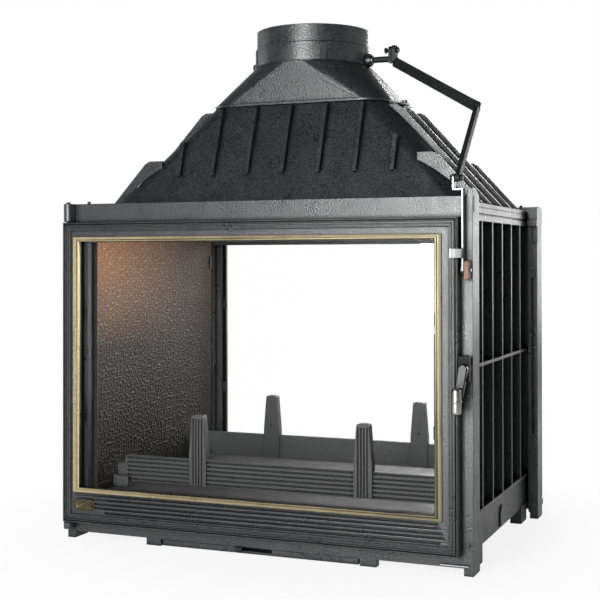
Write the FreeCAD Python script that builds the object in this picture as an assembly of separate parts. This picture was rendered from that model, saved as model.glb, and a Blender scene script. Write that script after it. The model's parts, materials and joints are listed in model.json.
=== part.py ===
import FreeCAD, Part
import os
from math import cos, radians, sin

# Double-sided fireplace insert, in millimetres.
# The origin is on the floor under the middle, +Z is up, the front is -Y and the right is +X.
# The rear side is the front side turned half a turn about Z.

# Facades
facade_width = 800
facade_shift = 6
insert_depth = 540
facade_plate = 16
facade_return = 45
latch_wall = 8
lintel_top = 643
lintel_wall = 12
rail_bottom = 13
opening_lip = 9
opening_hinge_lip = 1
opening_sill = 7
opening_header = 38
foot_width = 17
lug_width = 31
lug_offset = 212
ear_height = 13
ear_width = 10
ear_tail = 2
ear_slot_inset = 6
ear_slot_width = 5
ear_slot_length = 27
back_slot_bottom = 173
back_slot_length = 324
back_slot_width = 5
back_recess_drop = 75
back_recess_length = 35
back_detail_depth = 4
back_block_height = 13
screw_radius = 5
screw_head = 3
upper_screw_gap = 20
lower_screw_gap = 35
stud_radius = 3
stud_length = 4
stud_height = 52

# Side panels, liners and hearth
panel_gap = 2
panel_headroom = 16
panel_fin_depth = 15
panel_wall = 8
panel_bottom = 29
panel_band = 24
panel_fin_pitch = 80
panel_fin_count = 5
panel_fin_width = 7
panel_post_width = 14
panel_rib = 6
panel_mid_height = 349
panel_rail_top = 94
panel_foot_inner = 165
panel_foot_outer = 215
band_groove_width = 3
band_groove_depth = 3
skirt_setback = 3
plaque_radius = 20
plaque_height = 19
plaque_rise = 4
liner_thickness = 8
liner_setback = 6
liner_drop = 27
hearth_top = 88
hearth_thickness = 14
pit_half_width = 152
pit_half_depth = 92
pit_floor_top = 38
pit_wall = 6
grate_ledge = 8
grate_slots = 9
grate_slot_width = 14
grate_rim = 8
pan_wall = 2
pan_headroom = 11
pan_clearance = 4
baffle_thickness = 8
baffle_half_depth = 110

# Hood, transition and flue collar
hood_rise = 202
hood_side_ledge = 15
hood_front_ledge = 39
hood_top_half_width = 184
hood_top_half_depth = 110
hood_corner_low = 36
hood_corner_high = 52
hood_wall = 8
fin_skin = 1
hood_flange = 8
side_fin_reach = 15
side_fin_width = 7
side_fin_pitch = 82.5
side_fin_drop = 7
horn_place = 152
horn_rise = 96
horn_root_rise = 45
horn_tip = 262
horn_gap = 1
front_fin_reach = 16
front_fin_low_reach = 11
short_front_fin_rise = 132
front_fin_width = 9
front_fin_pitch = 73
front_fin_foot = 65
front_fin_drop = 4
transition_flange = 5
transition_side_flange = 14
transition_front_flange = 3
transition_lug = 13
transition_height = 79
collar_height = 70
collar_radius = 114
collar_wall = 7.5
collar_flat_angle = 6
shoulder_height = 36
shoulder_step = 1.5
pocket_width = 15
pocket_height = 34
pocket_depth = 3
pocket_angle = -60
bush_wall = 3
bush_reach = 3
boss_wall = 4
boss_height = 10
washer_thickness = 1.5

# Doors
hinge_margin = 4
pillar_width = 20
door_rise = 22
door_drop = 36
door_gap = 2
door_slab = 19
reed_count = 4
reed_pitch = 4.5
reed_width = 3.5
reed_height = 5
hinge_stile = 35
latch_stile = 42
lower_rail = 67
upper_rail = 37
trim_side = 14
trim_rail = 9
trim_face = 2.5
trim_return = 2
trim_return_depth = 9
glass_lap = 6
glass_thickness = 4
glass_rebate = 11
glass_seal_thickness = 1.5
clip_size = 22
clip_lap = 11
clip_thickness = 3
clip_spacing = 192
seal_margin = 5
seal_width = 8
seal_depth = 4
groove_count = 5
groove_pitch = 8
groove_width = 3
groove_depth = 2.5
groove_hinge_inset = 92
groove_latch_inset = 34
hinge_inset = 6
hinge_forward = 14
hinge_pin_radius = 4
hinge_pin_proud = 3
hinge_lug_radius = 9
hinge_lug_height = 13
hinge_gap = 1.5
hinge_bore_depth = 12

# Latch
latch_axis_height = 352
latch_axis_offset = 11
latch_housing_width = 19
latch_housing_height = 44
latch_housing_depth = 16
latch_housing_back = 10
latch_shaft_radius = 5
handle_arm_thickness = 11
handle_drop = 46
arm_head_radius = 8.5
arm_foot_radius = 8
arm_neck_radius = 5.5
grip_radius = 8.5
grip_length = 43
grip_overhang = 28
grip_forward = 9
grip_offset = 8
grip_ring_step = 1
grip_ring_width = 3.5
tongue_hub_radius = 7
tongue_length = 8
tongue_width = 9
tongue_thickness = 4
keeper_thickness = 3.5
keeper_width = 13
keeper_length = 62
keeper_drop = 21
keeper_inset = 1
keeper_rim = 3

# Log guards
guard_setback = 70
guard_end_gap = 8
guard_bottom = 100
guard_height = 50
guard_thickness = 12
guard_end_step = 16
guard_groove_count = 6
guard_groove_width = 3.5
guard_groove_depth = 3
guard_groove_gap = 6
post_offset = 168
post_top = 236
post_width = 36
post_taper = 6
post_shoulder = 12
post_thickness = 18
post_round = 5
post_reed_count = 4
post_reed_pitch = 6
post_reed_width = 2.5
post_reed_depth = 2.5
post_reed_margin = 7
post_hole_radius = 2
post_hole_depth = 6
post_hole_rise = 21
bracket_length = 35
bracket_depth = 26
bracket_height = 22

# Air controls
air_bar_half_length = 194
air_bar_depth = 16
air_bar_inset = 2
air_bar_bottom = 1
notch_offset = 158
notch_length = 70
notch_floor = 6
slide_knob_width = 12
slide_knob_proud = 4
slide_thickness = 3
slide_half_length = 120

# Damper linkage
damper_rise = 9
damper_shaft_radius = 6
damper_shaft_end = 160
damper_shaft_tail = 8
damper_plate_gap = 3
damper_plate_thickness = 4
damper_plate_half_width = 58
damper_bolt_spacing = 114
crank_radius = 17
crank_thickness = 6
crank_bolt_tip = 5
crank_eye_radius = 8
bolt_radius = 3.5
bolt_head_radius = 6
bolt_head_height = 4
strap_width = 18
strap_low_width = 14.4
strap_thickness = 8
strap_eye_wall = 3
strap_bend_depth = 143
strap_bend_drop = 29
pivot_forward = 10
rocker_pivot_drop = 126
rocker_arm = 156
rocker_width = 14
rocker_thickness = 3.5
rocker_gap = 4.5
rocker_joggle = 16
rocker_joggle_rise = 12
finger_rise = 28
finger_width = 15
finger_length = 78
bracket_block_height = 31
bracket_block_inset = 2
bracket_block_proud = 9
pivot_head = 2

# Clearances
running_clearance = 0.05
seat_clearance = 0.3
slide_clearance = 0.5
link_clearance = 3.2
side_clearance = 1.0
glass_clearance = 1.0

# Planes and heights that follow from the driving dimensions
facade_left = -(facade_width / 2 + facade_shift)
facade_right = facade_width / 2 - facade_shift
facade_plane = insert_depth / 2
front = -facade_plane
plate_back = front + facade_plate
return_back = front + facade_return
hinge_post_width = latch_wall + 2 * facade_shift
panel_face = facade_right - latch_wall - panel_gap
panel_wall_outer = panel_face - panel_fin_depth
panel_wall_inner = panel_wall_outer - panel_wall
panel_half_length = facade_plane - facade_plate
panel_top = lintel_top - panel_headroom
door_left = facade_left + hinge_margin
door_right = facade_right - pillar_width
door_bottom = rail_bottom + door_rise
door_top = lintel_top - door_drop
door_back = front - door_gap
door_face = door_back - door_slab
opening_right = panel_wall_inner - opening_lip
opening_left = opening_hinge_lip - panel_wall_inner
opening_bottom = hearth_top + opening_sill
opening_top = door_top - opening_header
glass_opening_left = door_left + hinge_stile
glass_opening_right = door_right - latch_stile
glass_opening_bottom = door_bottom + lower_rail
glass_opening_top = door_top - upper_rail
liner_inner = panel_wall_inner - liner_thickness
liner_half_depth = panel_half_length - liner_setback
liner_top = panel_top - liner_drop
guard_plane = liner_half_depth - guard_setback
guard_half_length = liner_inner - guard_end_gap
hood_base = panel_top + hood_flange
hood_top = hood_base + hood_rise
hood_base_half_width = panel_face - hood_side_ledge
hood_base_half_depth = facade_plane - facade_return - hood_front_ledge
front_fin_bottom = hood_base + front_fin_foot
transition_base = hood_top + transition_flange
collar_bottom = transition_base + transition_height
collar_top = collar_bottom + collar_height
hinge_x = door_left + hinge_inset
hinge_y = front - hinge_forward
latch_x = door_right + latch_axis_offset
damper_height = collar_bottom + damper_rise
damper_pin_height = damper_height + crank_radius
rocker_y = front - pivot_forward
rocker_inner = door_right + rocker_gap
rocker_outer = rocker_inner + rocker_thickness
rocker_pivot_height = lintel_top - rocker_pivot_drop
rocker_joggle_height = lintel_top + rocker_joggle_rise
finger_height = rocker_pivot_height + finger_rise
strap_bend_height = hood_top - strap_bend_drop
link_height = rocker_pivot_height + rocker_arm


def V(x, y, z):
    return FreeCAD.Vector(x, y, z)


X = V(1, 0, 0)
Y = V(0, 1, 0)
Z = V(0, 0, 1)


def box(x0, x1, y0, y1, z0, z1):
    return Part.makeBox(x1 - x0, y1 - y0, z1 - z0, V(x0, y0, z0))


def rod(radius, start, end):
    """Round bar from one point to another."""
    return Part.makeCylinder(radius, (end - start).Length, start, end - start)


def join(*shapes):
    return shapes[0].multiFuse(list(shapes[1:])).removeSplitter()


def group(*shapes):
    return Part.makeCompound(list(shapes))


def turned(shape):
    """The same piece on the other side, half a turn about Z."""
    copy = shape.copy()
    copy.rotate(V(0, 0, 0), Z, 180)
    return copy


def prism(points, sweep):
    """Closed polygon of points carried along a vector."""
    return Part.Face(Part.makePolygon(points + points[:1])).extrude(sweep)


def frame_ring(x0, x1, z0, z1, y0, y1, side, rail):
    """Rectangular ring in the door's plane, with its own side and rail widths."""
    hole = box(x0 + side, x1 - side, y0, y1, z0 + rail, z1 - rail)
    return box(x0, x1, y0, y1, z0, z1).cut(hole)


def bolt(start, end):
    """Bolt with a round head at its start and a nut at its end."""
    along = end - start
    along.normalize()
    head = rod(bolt_head_radius, start, start + along * bolt_head_height)
    nut = rod(bolt_head_radius, end - along * bolt_head_height, end)
    return join(rod(bolt_radius, start, end), head, nut)


def bar(start, end, width_direction, width, thickness):
    """Flat bar between two points, its width along the given direction."""
    run = end - start
    length = run.Length
    along = V(run.x, run.y, run.z).normalize()
    across = width_direction - along * width_direction.dot(along)
    across.normalize()
    normal = along.cross(across)
    corner = start - across * (width / 2) - normal * (thickness / 2)
    corners = [corner, corner + across * width]
    corners += [corners[1] + normal * thickness, corner + normal * thickness]
    return prism(corners, along * length)


# Facade: plate with the fire opening, hinge post, latch return, lintel return, feet and hinge lugs
def hinge_lug(z0, z1):
    block = box(hinge_x - hinge_lug_radius, hinge_x + hinge_lug_radius, hinge_y, front, z0, z1)
    boss = rod(hinge_lug_radius, V(hinge_x, hinge_y, z0), V(hinge_x, hinge_y, z1))
    hole = rod(hinge_pin_radius, V(hinge_x, hinge_y, z0), V(hinge_x, hinge_y, z1))
    return join(block, boss).cut(hole)


upper_lug_bottom = door_top + hinge_gap
upper_lug_top = lintel_top
lower_lug_top = door_bottom - hinge_gap
post_back_middle = facade_left + hinge_post_width / 2
back_slot_top = back_slot_bottom + back_slot_length
back_recess_bottom = lintel_top - back_recess_drop
back_recess_top = back_recess_bottom + back_recess_length


def facade():
    plate = box(facade_left, facade_right, front, plate_back, rail_bottom, lintel_top)
    opening = box(opening_left, opening_right, front, plate_back, opening_bottom, opening_top)
    post = box(facade_left, facade_left + hinge_post_width, front, return_back, rail_bottom, lintel_top)
    latch = box(facade_right - latch_wall, facade_right, front, return_back, rail_bottom, lintel_top)
    lintel = box(facade_left, facade_right, front, return_back, lintel_top - lintel_wall, lintel_top)
    pieces = [plate.cut(opening), post, latch, lintel]
    pieces.append(box(facade_left, facade_left + foot_width, front, return_back, 0, rail_bottom))
    pieces.append(box(facade_right - foot_width, facade_right, front, return_back, 0, rail_bottom))
    for side in (-1, 1):
        middle = -facade_shift + side * lug_offset
        pieces.append(box(middle - lug_width / 2, middle + lug_width / 2, front, plate_back, 0, rail_bottom))
    ear_x = facade_right - ear_width
    ear_top = lintel_top + ear_height
    ear = [V(ear_x, front, lintel_top), V(ear_x, front, ear_top), V(ear_x, front + facade_return / 2, ear_top),
           V(ear_x, return_back, lintel_top + ear_tail), V(ear_x, return_back, lintel_top)]
    pieces.append(prism(ear, X * ear_width))
    pieces.append(hinge_lug(upper_lug_bottom, upper_lug_top))
    pieces.append(hinge_lug(lower_lug_top - hinge_lug_height, lower_lug_top))
    pieces.append(box(facade_left, facade_left + hinge_post_width,
                      return_back, return_back + back_detail_depth,
                      back_recess_top, back_recess_top + back_block_height))
    slot = box(post_back_middle - back_slot_width / 2, post_back_middle + back_slot_width / 2,
               return_back - back_detail_depth, return_back, back_slot_bottom, back_slot_top)
    recess = box(facade_left, post_back_middle, return_back - back_detail_depth, return_back,
                 back_recess_bottom, back_recess_top)
    slot_front = front + ear_slot_inset
    ear_slot = box(facade_right - latch_wall / 2, facade_right, slot_front, slot_front + ear_slot_width,
                   lintel_top - ear_slot_length, lintel_top)
    return join(*pieces).cut(slot).cut(recess).cut(ear_slot)


def facade_screws():
    """Two screws in the back of the hinge post and a stud on the latch pillar."""
    screws = []
    for z in (back_slot_top + upper_screw_gap, back_slot_bottom - lower_screw_gap):
        seat = V(post_back_middle, return_back, z)
        screws.append(rod(screw_radius, seat, seat + Y * screw_head))
    stud = V(facade_right - foot_width / 2, front, stud_height)
    screws.append(rod(stud_radius, stud, stud - Y * stud_length))
    return screws


# Side panel: wall, end posts, fins, ribs, skirt with its plaque, and feet
def side_panel():
    half = panel_half_length
    pieces = [box(panel_wall_inner, panel_wall_outer, -half, half, panel_bottom, panel_top)]
    pieces.append(box(panel_wall_outer, panel_face, -half, half, panel_top - panel_band, panel_top))
    pieces.append(box(panel_wall_outer, panel_face, -half, half, panel_rail_top - panel_rib, panel_rail_top))
    pieces.append(box(panel_wall_outer, panel_face, -half, half,
                      panel_mid_height - panel_rib / 2, panel_mid_height + panel_rib / 2))
    skirt_face = panel_face - skirt_setback
    pieces.append(box(panel_wall_outer, skirt_face, -half, half, panel_bottom, panel_rail_top))
    for k in range(panel_fin_count):
        y = (k - (panel_fin_count - 1) / 2) * panel_fin_pitch
        pieces.append(box(panel_wall_outer, panel_face, y - panel_fin_width / 2, y + panel_fin_width / 2,
                          panel_rail_top, panel_top))
    for side in (-1, 1):
        foot = sorted((side * panel_foot_inner, side * panel_foot_outer))
        pieces.append(box(panel_wall_inner, panel_face, foot[0], foot[1], 0, panel_bottom + panel_rib))
        post = sorted((side * half, side * (half - panel_post_width)))
        pieces.append(box(panel_wall_outer, panel_face, post[0], post[1], panel_bottom, panel_top))
    skirt_face = panel_face - skirt_setback
    plaque_base = panel_bottom + plaque_rise
    plaque_top = plaque_base + plaque_height
    plaque = box(skirt_face, panel_face, -plaque_radius, plaque_radius, plaque_base, plaque_top)
    crown = rod(plaque_radius, V(skirt_face, 0, plaque_top), V(panel_face, 0, plaque_top))
    pieces += [plaque, crown]
    groove_bottom = panel_top - (panel_band + band_groove_width) / 2
    groove = box(panel_face - band_groove_depth, panel_face, -half, half,
                 groove_bottom, groove_bottom + band_groove_width)
    return join(*pieces).cut(groove)


def liner():
    return box(liner_inner, panel_wall_inner, -liner_half_depth, liner_half_depth, hearth_top, liner_top)


# Hearth: floor plate with the ash pit, grate on its ledge, pan in the pit
def base_plate():
    half = panel_half_length
    floor = box(-panel_wall_inner, panel_wall_inner, -half, half, hearth_top - hearth_thickness, hearth_top)
    pit_x = pit_half_width + pit_wall
    pit_y = pit_half_depth + pit_wall
    pit = box(-pit_x, pit_x, -pit_y, pit_y, pit_floor_top - pit_wall, hearth_top)
    hole = box(-pit_half_width, pit_half_width, -pit_half_depth, pit_half_depth, pit_floor_top, hearth_top)
    ledge_x = pit_half_width + grate_ledge
    ledge_y = pit_half_depth + grate_ledge
    ledge = box(-ledge_x, ledge_x, -ledge_y, ledge_y, hearth_top - grate_ledge, hearth_top)
    return join(floor, pit).cut(hole).cut(ledge)


grate_bottom = hearth_top - grate_ledge + seat_clearance


def hearth_grate():
    half_x = pit_half_width + grate_ledge - slide_clearance
    half_y = pit_half_depth + grate_ledge - slide_clearance
    grate = box(-half_x, half_x, -half_y, half_y, grate_bottom, hearth_top)
    pitch = 2 * pit_half_width / grate_slots
    slot_half = pit_half_depth - grate_rim
    for k in range(grate_slots):
        x = (k - (grate_slots - 1) / 2) * pitch
        grate = grate.cut(box(x - grate_slot_width / 2, x + grate_slot_width / 2, -slot_half, slot_half,
                              grate_bottom, hearth_top))
    return grate


def ash_pan():
    half_x = pit_half_width - pan_clearance
    half_y = pit_half_depth - pan_clearance
    bottom = pit_floor_top + seat_clearance
    top = grate_bottom - pan_headroom
    pan = box(-half_x, half_x, -half_y, half_y, bottom, top)
    inside = box(-half_x + pan_wall, half_x - pan_wall, -half_y + pan_wall, half_y - pan_wall,
                 bottom + pan_wall, top)
    return pan.cut(inside)


def smoke_baffle():
    reach = panel_wall_inner - liner_thickness / 2
    return box(-reach, reach, -baffle_half_depth, baffle_half_depth, liner_top, liner_top + baffle_thickness)


# Hood: four sloping castings with round corners, parted along the corners' middles, and fins
slope_x = (hood_base_half_width - hood_top_half_width) / hood_rise
slope_y = (hood_base_half_depth - hood_top_half_depth) / hood_rise
hood_flange_half_depth = facade_plane - facade_return
fin_root = hood_wall - fin_skin
short_front_fin_top = hood_base + short_front_fin_rise
horn_root_top = hood_base + horn_root_rise
horn_top = hood_base + horn_rise


def hood_half_width(z):
    return hood_base_half_width - slope_x * (z - hood_base)


def hood_half_depth(z):
    return hood_base_half_depth - slope_y * (z - hood_base)


def hood_solid(inset):
    """Filled hood: a rounded rectangle at the base drawn in to a smaller one under the transition."""
    low = rounded_rectangle(hood_base_half_width - inset, hood_base_half_depth - inset,
                            hood_corner_low - inset, hood_base)
    high = rounded_rectangle(hood_top_half_width - inset, hood_top_half_depth - inset,
                             hood_corner_high - inset, hood_top)
    return Part.makeLoft([low, high], True, True)


def mitre_region(front):
    """Space in front of (or to the right of) the mitre planes through the middles of the round corners."""
    loops = []
    for half_x, half_y, corner, z in ((hood_base_half_width, hood_base_half_depth, hood_corner_low, hood_base),
                                      (hood_top_half_width, hood_top_half_depth, hood_corner_high, hood_top)):
        near_x, near_y = half_x - corner - hood_wall, half_y - corner - hood_wall
        far_x, far_y = half_x + corner, half_y + corner
        if front:
            points = [V(-near_x, -near_y, z), V(near_x, -near_y, z), V(far_x, -far_y, z), V(-far_x, -far_y, z)]
        else:
            points = [V(near_x, -near_y, z), V(far_x, -far_y, z), V(far_x, far_y, z), V(near_x, near_y, z)]
        loops.append(Part.makePolygon(points + points[:1]))
    return Part.makeLoft(loops, True, True)


def hood_wall_part(front):
    shell = hood_solid(0).cut(hood_solid(hood_wall))
    return shell.common(mitre_region(front))


def front_fin(x, top):
    """Upright fin on the front slope that rises out of it towards its top."""
    bottom = front_fin_bottom
    outline = [V(x, fin_root - hood_half_depth(top), top), V(x, -hood_half_depth(top) - front_fin_reach, top),
               V(x, -hood_half_depth(bottom) - front_fin_low_reach, bottom),
               V(x, fin_root - hood_half_depth(bottom), bottom)]
    outline = [point - X * (front_fin_width / 2) for point in outline]
    return prism(outline, X * front_fin_width)


def side_fin(y, top):
    """Fin on the right slope in a plane square to Y."""
    corner = side_fin_reach / 3
    outline = [V(hood_half_width(hood_base) - fin_root, y, hood_base),
               V(hood_half_width(hood_base) + side_fin_reach, y, hood_base),
               V(hood_half_width(top - corner) + side_fin_reach, y, top - corner),
               V(hood_half_width(top) + side_fin_reach - corner, y, top),
               V(hood_half_width(top) - fin_root, y, top)]
    outline = [point - Y * (side_fin_width / 2) for point in outline]
    return prism(outline, Y * side_fin_width)


def corner_horn(y):
    """Outer fin: rooted low on the right slope, above that a free plate in front of the round corner."""
    corner = side_fin_reach / 3
    root = side_fin(y, horn_root_top)
    outline = [V(horn_tip, y, horn_root_top - corner),
               V(hood_half_width(horn_root_top - corner) + side_fin_reach, y, horn_root_top - corner),
               V(hood_half_width(horn_top - corner) + side_fin_reach, y, horn_top - corner),
               V(hood_half_width(horn_top) + side_fin_reach - corner, y, horn_top), V(horn_tip, y, horn_top)]
    outline = [point - Y * (side_fin_width / 2) for point in outline]
    plate = prism(outline, Y * side_fin_width).cut(hood_solid(-horn_gap))
    return join(root, plate)


def hood_front():
    reach = hood_base_half_width - hood_wall
    flange_back = hood_wall - hood_base_half_depth
    flange = box(-reach, reach, -hood_flange_half_depth, flange_back, panel_top, hood_base)
    pieces = [hood_wall_part(True), flange]
    for k in (-2, -1, 0, 1, 2):
        pieces.append(front_fin(k * front_fin_pitch, hood_top - front_fin_drop))
    for k in (-3, 3):
        pieces.append(front_fin(k * front_fin_pitch, short_front_fin_top))
    return join(*pieces)


def hood_side():
    flange = box(hood_base_half_width - hood_wall, panel_face, -hood_flange_half_depth, hood_flange_half_depth,
                 panel_top, hood_base)
    pieces = [hood_wall_part(False), flange]
    for k in (-1, 0, 1):
        pieces.append(side_fin(k * side_fin_pitch, hood_top - side_fin_drop))
    for y in (-horn_place, horn_place):
        pieces.append(corner_horn(y))
    return join(*pieces)


# Flue transition: flange, rectangular-to-round body and collar with two damper bosses
bore_radius = collar_radius - collar_wall
bush_radius = damper_shaft_radius + bush_wall
boss_radius = bush_radius + boss_wall
boss_reach = collar_radius + boss_height


def rounded_rectangle(half_x, half_y, corner, z):
    """Four sides and four corner arcs, starting at the right end of the front side."""
    edges = []
    for quarter in range(4):
        angle = radians(-90 + 90 * quarter)
        half_run, half_out = (half_x, half_y) if quarter % 2 == 0 else (half_y, half_x)
        out = V(cos(angle), sin(angle), 0)
        along = V(-sin(angle), cos(angle), 0)
        middle = out * half_out + V(0, 0, z)
        start = middle - along * (half_run - corner)
        end = middle + along * (half_run - corner)
        edges.append(Part.LineSegment(start, end).toShape())
        centre = end - out * corner
        bend = centre + (out + along).normalize() * corner
        edges.append(Part.Arc(end, bend, centre + along * corner).toShape())
    return Part.Wire(edges)


def split_circle(radius, flat_angle, z):
    """Circle in eight arcs: a short one over each side and a long one over each corner."""
    def at(degree):
        return V(radius * cos(radians(degree)), radius * sin(radians(degree)), z)

    edges = []
    for quarter in range(4):
        side = -90 + 90 * quarter
        edges.append(Part.Arc(at(side - flat_angle), at(side), at(side + flat_angle)).toShape())
        edges.append(Part.Arc(at(side + flat_angle), at(side + 45), at(side + 90 - flat_angle)).toShape())
    return Part.Wire(edges)


def transition_solid(inset):
    base = rounded_rectangle(hood_top_half_width - inset, hood_top_half_depth - inset,
                             hood_corner_high - inset, transition_base)
    ring = split_circle(collar_radius - inset, collar_flat_angle, collar_bottom)
    return Part.makeLoft([base, ring], True, True)


def collar_pocket(degree):
    half = pocket_width / 2
    inside = collar_radius - pocket_depth
    outside = collar_radius + shoulder_step + pocket_depth / 2
    crown_height = collar_bottom + pocket_height - half
    pocket = box(inside, outside, -half, half, collar_bottom, crown_height)
    crown = rod(half, V(inside, 0, crown_height), V(outside, 0, crown_height))
    pocket = join(pocket, crown)
    pocket.rotate(V(0, 0, 0), Z, degree)
    return pocket


def flue_transition():
    outline = rounded_rectangle(hood_top_half_width, hood_top_half_depth + transition_front_flange,
                                hood_corner_high, hood_top)
    lug_reach = hood_top_half_width + transition_side_flange
    lugs = box(-lug_reach, lug_reach, -transition_lug, transition_lug, hood_top, transition_base)
    flange = join(Part.Face(outline).extrude(Z * transition_flange), lugs)
    mouth = rounded_rectangle(hood_top_half_width - collar_wall, hood_top_half_depth - collar_wall,
                              hood_corner_high - collar_wall, hood_top)
    throat = Part.Face(mouth).extrude(Z * transition_flange)
    shoulder_top = collar_bottom + shoulder_height
    collar = rod(collar_radius, V(0, 0, collar_bottom), V(0, 0, collar_top))
    shoulder = rod(collar_radius + shoulder_step, V(0, 0, collar_bottom), V(0, 0, shoulder_top))
    pieces = [flange, transition_solid(0), collar, shoulder]
    for side in (-1, 1):
        boss_start = V(side * bore_radius, 0, damper_height)
        pieces.append(rod(boss_radius, boss_start, V(side * boss_reach, 0, damper_height)))
    for quarter in range(4):
        pieces.append(collar_pocket(pocket_angle + 90 * quarter))
    bore = rod(bore_radius, V(0, 0, collar_bottom), V(0, 0, collar_top))
    shaft_hole = rod(bush_radius, V(-boss_reach, 0, damper_height), V(boss_reach, 0, damper_height))
    shell = join(*pieces).cut(throat).cut(transition_solid(collar_wall)).cut(bore)
    return shell.cut(shaft_hole)


def damper_bushes():
    bushes = []
    for side in (-1, 1):
        start = V(side * (bore_radius + seat_clearance), 0, damper_height)
        end = V(side * (boss_reach + bush_reach), 0, damper_height)
        hole = rod(damper_shaft_radius + running_clearance, start, end)
        bushes.append(rod(bush_radius, start, end).cut(hole))
    return group(*bushes)


def transition_bolts():
    bolts = []
    x = hood_top_half_width + transition_side_flange / 2
    for side in (-1, 1):
        foot = V(side * x, 0, transition_base)
        head_top = foot + Z * (washer_thickness + bolt_head_height)
        washer = rod(bolt_head_radius, foot, foot + Z * washer_thickness)
        bolts.append(join(washer, rod(bolt_head_radius - washer_thickness, foot, head_top)))
    return group(*bolts)


# Doors: frame with reeds, grooves, glass rebate, seal groove and hinge bores
rebate_left = glass_opening_left - glass_lap
rebate_right = glass_opening_right + glass_lap
rebate_bottom = glass_opening_bottom - glass_lap
rebate_top = glass_opening_top + glass_lap
rebate_floor = door_back - glass_rebate
seal_left = rebate_left - seal_margin - seal_width
seal_right = opening_right + seal_margin + seal_width
seal_bottom = opening_bottom - seal_margin - seal_width
seal_top = rebate_top + seal_margin + seal_width
seal_floor = door_back - seal_depth


def door_frame():
    slab = box(door_left, door_right, door_face, door_back, door_bottom, door_top)
    pieces = [slab]
    for k in range(reed_count):
        inset = k * reed_pitch
        pieces.append(frame_ring(door_left + inset, door_right - inset, door_bottom + inset, door_top - inset,
                                 door_face - reed_height, door_face, reed_width, reed_width))
    frame = join(*pieces)
    window = box(glass_opening_left - trim_return, glass_opening_right + trim_return, door_face, door_back,
                 glass_opening_bottom - trim_return, glass_opening_top + trim_return)
    rebate = box(rebate_left, rebate_right, rebate_floor, door_back, rebate_bottom, rebate_top)
    seal_groove = frame_ring(seal_left, seal_right, seal_bottom, seal_top, seal_floor, door_back,
                             seal_width, seal_width)
    frame = frame.cut(window).cut(rebate).cut(seal_groove)
    lowest = door_bottom + reed_count * reed_pitch + groove_pitch / 2
    groove_left = door_left + groove_hinge_inset
    groove_right = door_right - groove_latch_inset
    groove_floor = door_face + groove_depth
    for k in range(groove_count):
        z = lowest + k * groove_pitch
        half = groove_width / 2
        slot = box(groove_left, groove_right, door_face, groove_floor, z - half, z + half)
        for x in (groove_left, groove_right):
            end = rod(groove_width / 2, V(x, door_face, z), V(x, groove_floor, z))
            slot = slot.fuse(end)
        frame = frame.cut(slot)
    for z in (door_bottom, door_top - hinge_bore_depth):
        foot = V(hinge_x, hinge_y, z)
        frame = frame.cut(rod(hinge_pin_radius + running_clearance, foot, foot + Z * hinge_bore_depth))
    return frame


def hinge_pins():
    lug_bottom = lower_lug_top - hinge_lug_height
    reach = hinge_bore_depth - side_clearance
    lower = rod(hinge_pin_radius, V(hinge_x, hinge_y, lug_bottom), V(hinge_x, hinge_y, door_bottom + reach))
    upper_end = upper_lug_top + hinge_pin_proud
    upper = rod(hinge_pin_radius, V(hinge_x, hinge_y, door_top - reach), V(hinge_x, hinge_y, upper_end))
    return group(lower, upper)


def brass_trim():
    face = frame_ring(glass_opening_left - trim_side, glass_opening_right + trim_side,
                      glass_opening_bottom - trim_rail, glass_opening_top + trim_rail,
                      door_face - trim_face, door_face, trim_side, trim_rail)
    inner = frame_ring(glass_opening_left - trim_return, glass_opening_right + trim_return,
                       glass_opening_bottom - trim_return, glass_opening_top + trim_return,
                       door_face - trim_face, door_face + trim_return_depth - trim_face,
                       trim_return, trim_return)
    return join(face, inner)


def glass_seal():
    return frame_ring(rebate_left, rebate_right, rebate_bottom, rebate_top,
                      rebate_floor, rebate_floor + glass_seal_thickness, glass_lap, glass_lap)


glass_front = rebate_floor + glass_seal_thickness
glass_back = glass_front + glass_thickness


def door_glass():
    return box(rebate_left + glass_clearance, rebate_right - glass_clearance, glass_front, glass_back,
               rebate_bottom + glass_clearance, rebate_top - glass_clearance)


def glass_clips():
    """Four flat clips that hold the glass from inside, screwed in the rebate."""
    clips = []
    middle = (rebate_bottom + rebate_top) / 2
    for side in (-1, 1):
        bottom = middle + side * clip_spacing / 2 - clip_size / 2
        for left in (rebate_left, rebate_right - clip_lap):
            clips.append(box(left, left + clip_lap, glass_back, glass_back + clip_thickness,
                             bottom, bottom + clip_size))
    return group(*clips)


def door_seal():
    return frame_ring(seal_left, seal_right, seal_bottom, seal_top, seal_floor, front - seat_clearance,
                      seal_width, seal_width)


# Latch: housing on the door's edge, turning handle with a grip and a tongue, keeper on the pillar
housing_back = front - latch_housing_back
housing_front = housing_back - latch_housing_depth


def latch_housing():
    bottom = latch_axis_height - latch_housing_height / 2
    body = box(door_right, door_right + latch_housing_width, housing_front, housing_back,
               bottom, bottom + latch_housing_height)
    bore = rod(latch_shaft_radius + running_clearance, V(latch_x, housing_front, latch_axis_height),
               V(latch_x, housing_back, latch_axis_height))
    return body.cut(bore)


arm_back = housing_front - side_clearance
arm_front = arm_back - handle_arm_thickness
arm_foot_height = latch_axis_height - handle_drop
grip_x = latch_x - grip_offset
grip_y = arm_front - grip_forward
tongue_front = housing_back + side_clearance


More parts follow.
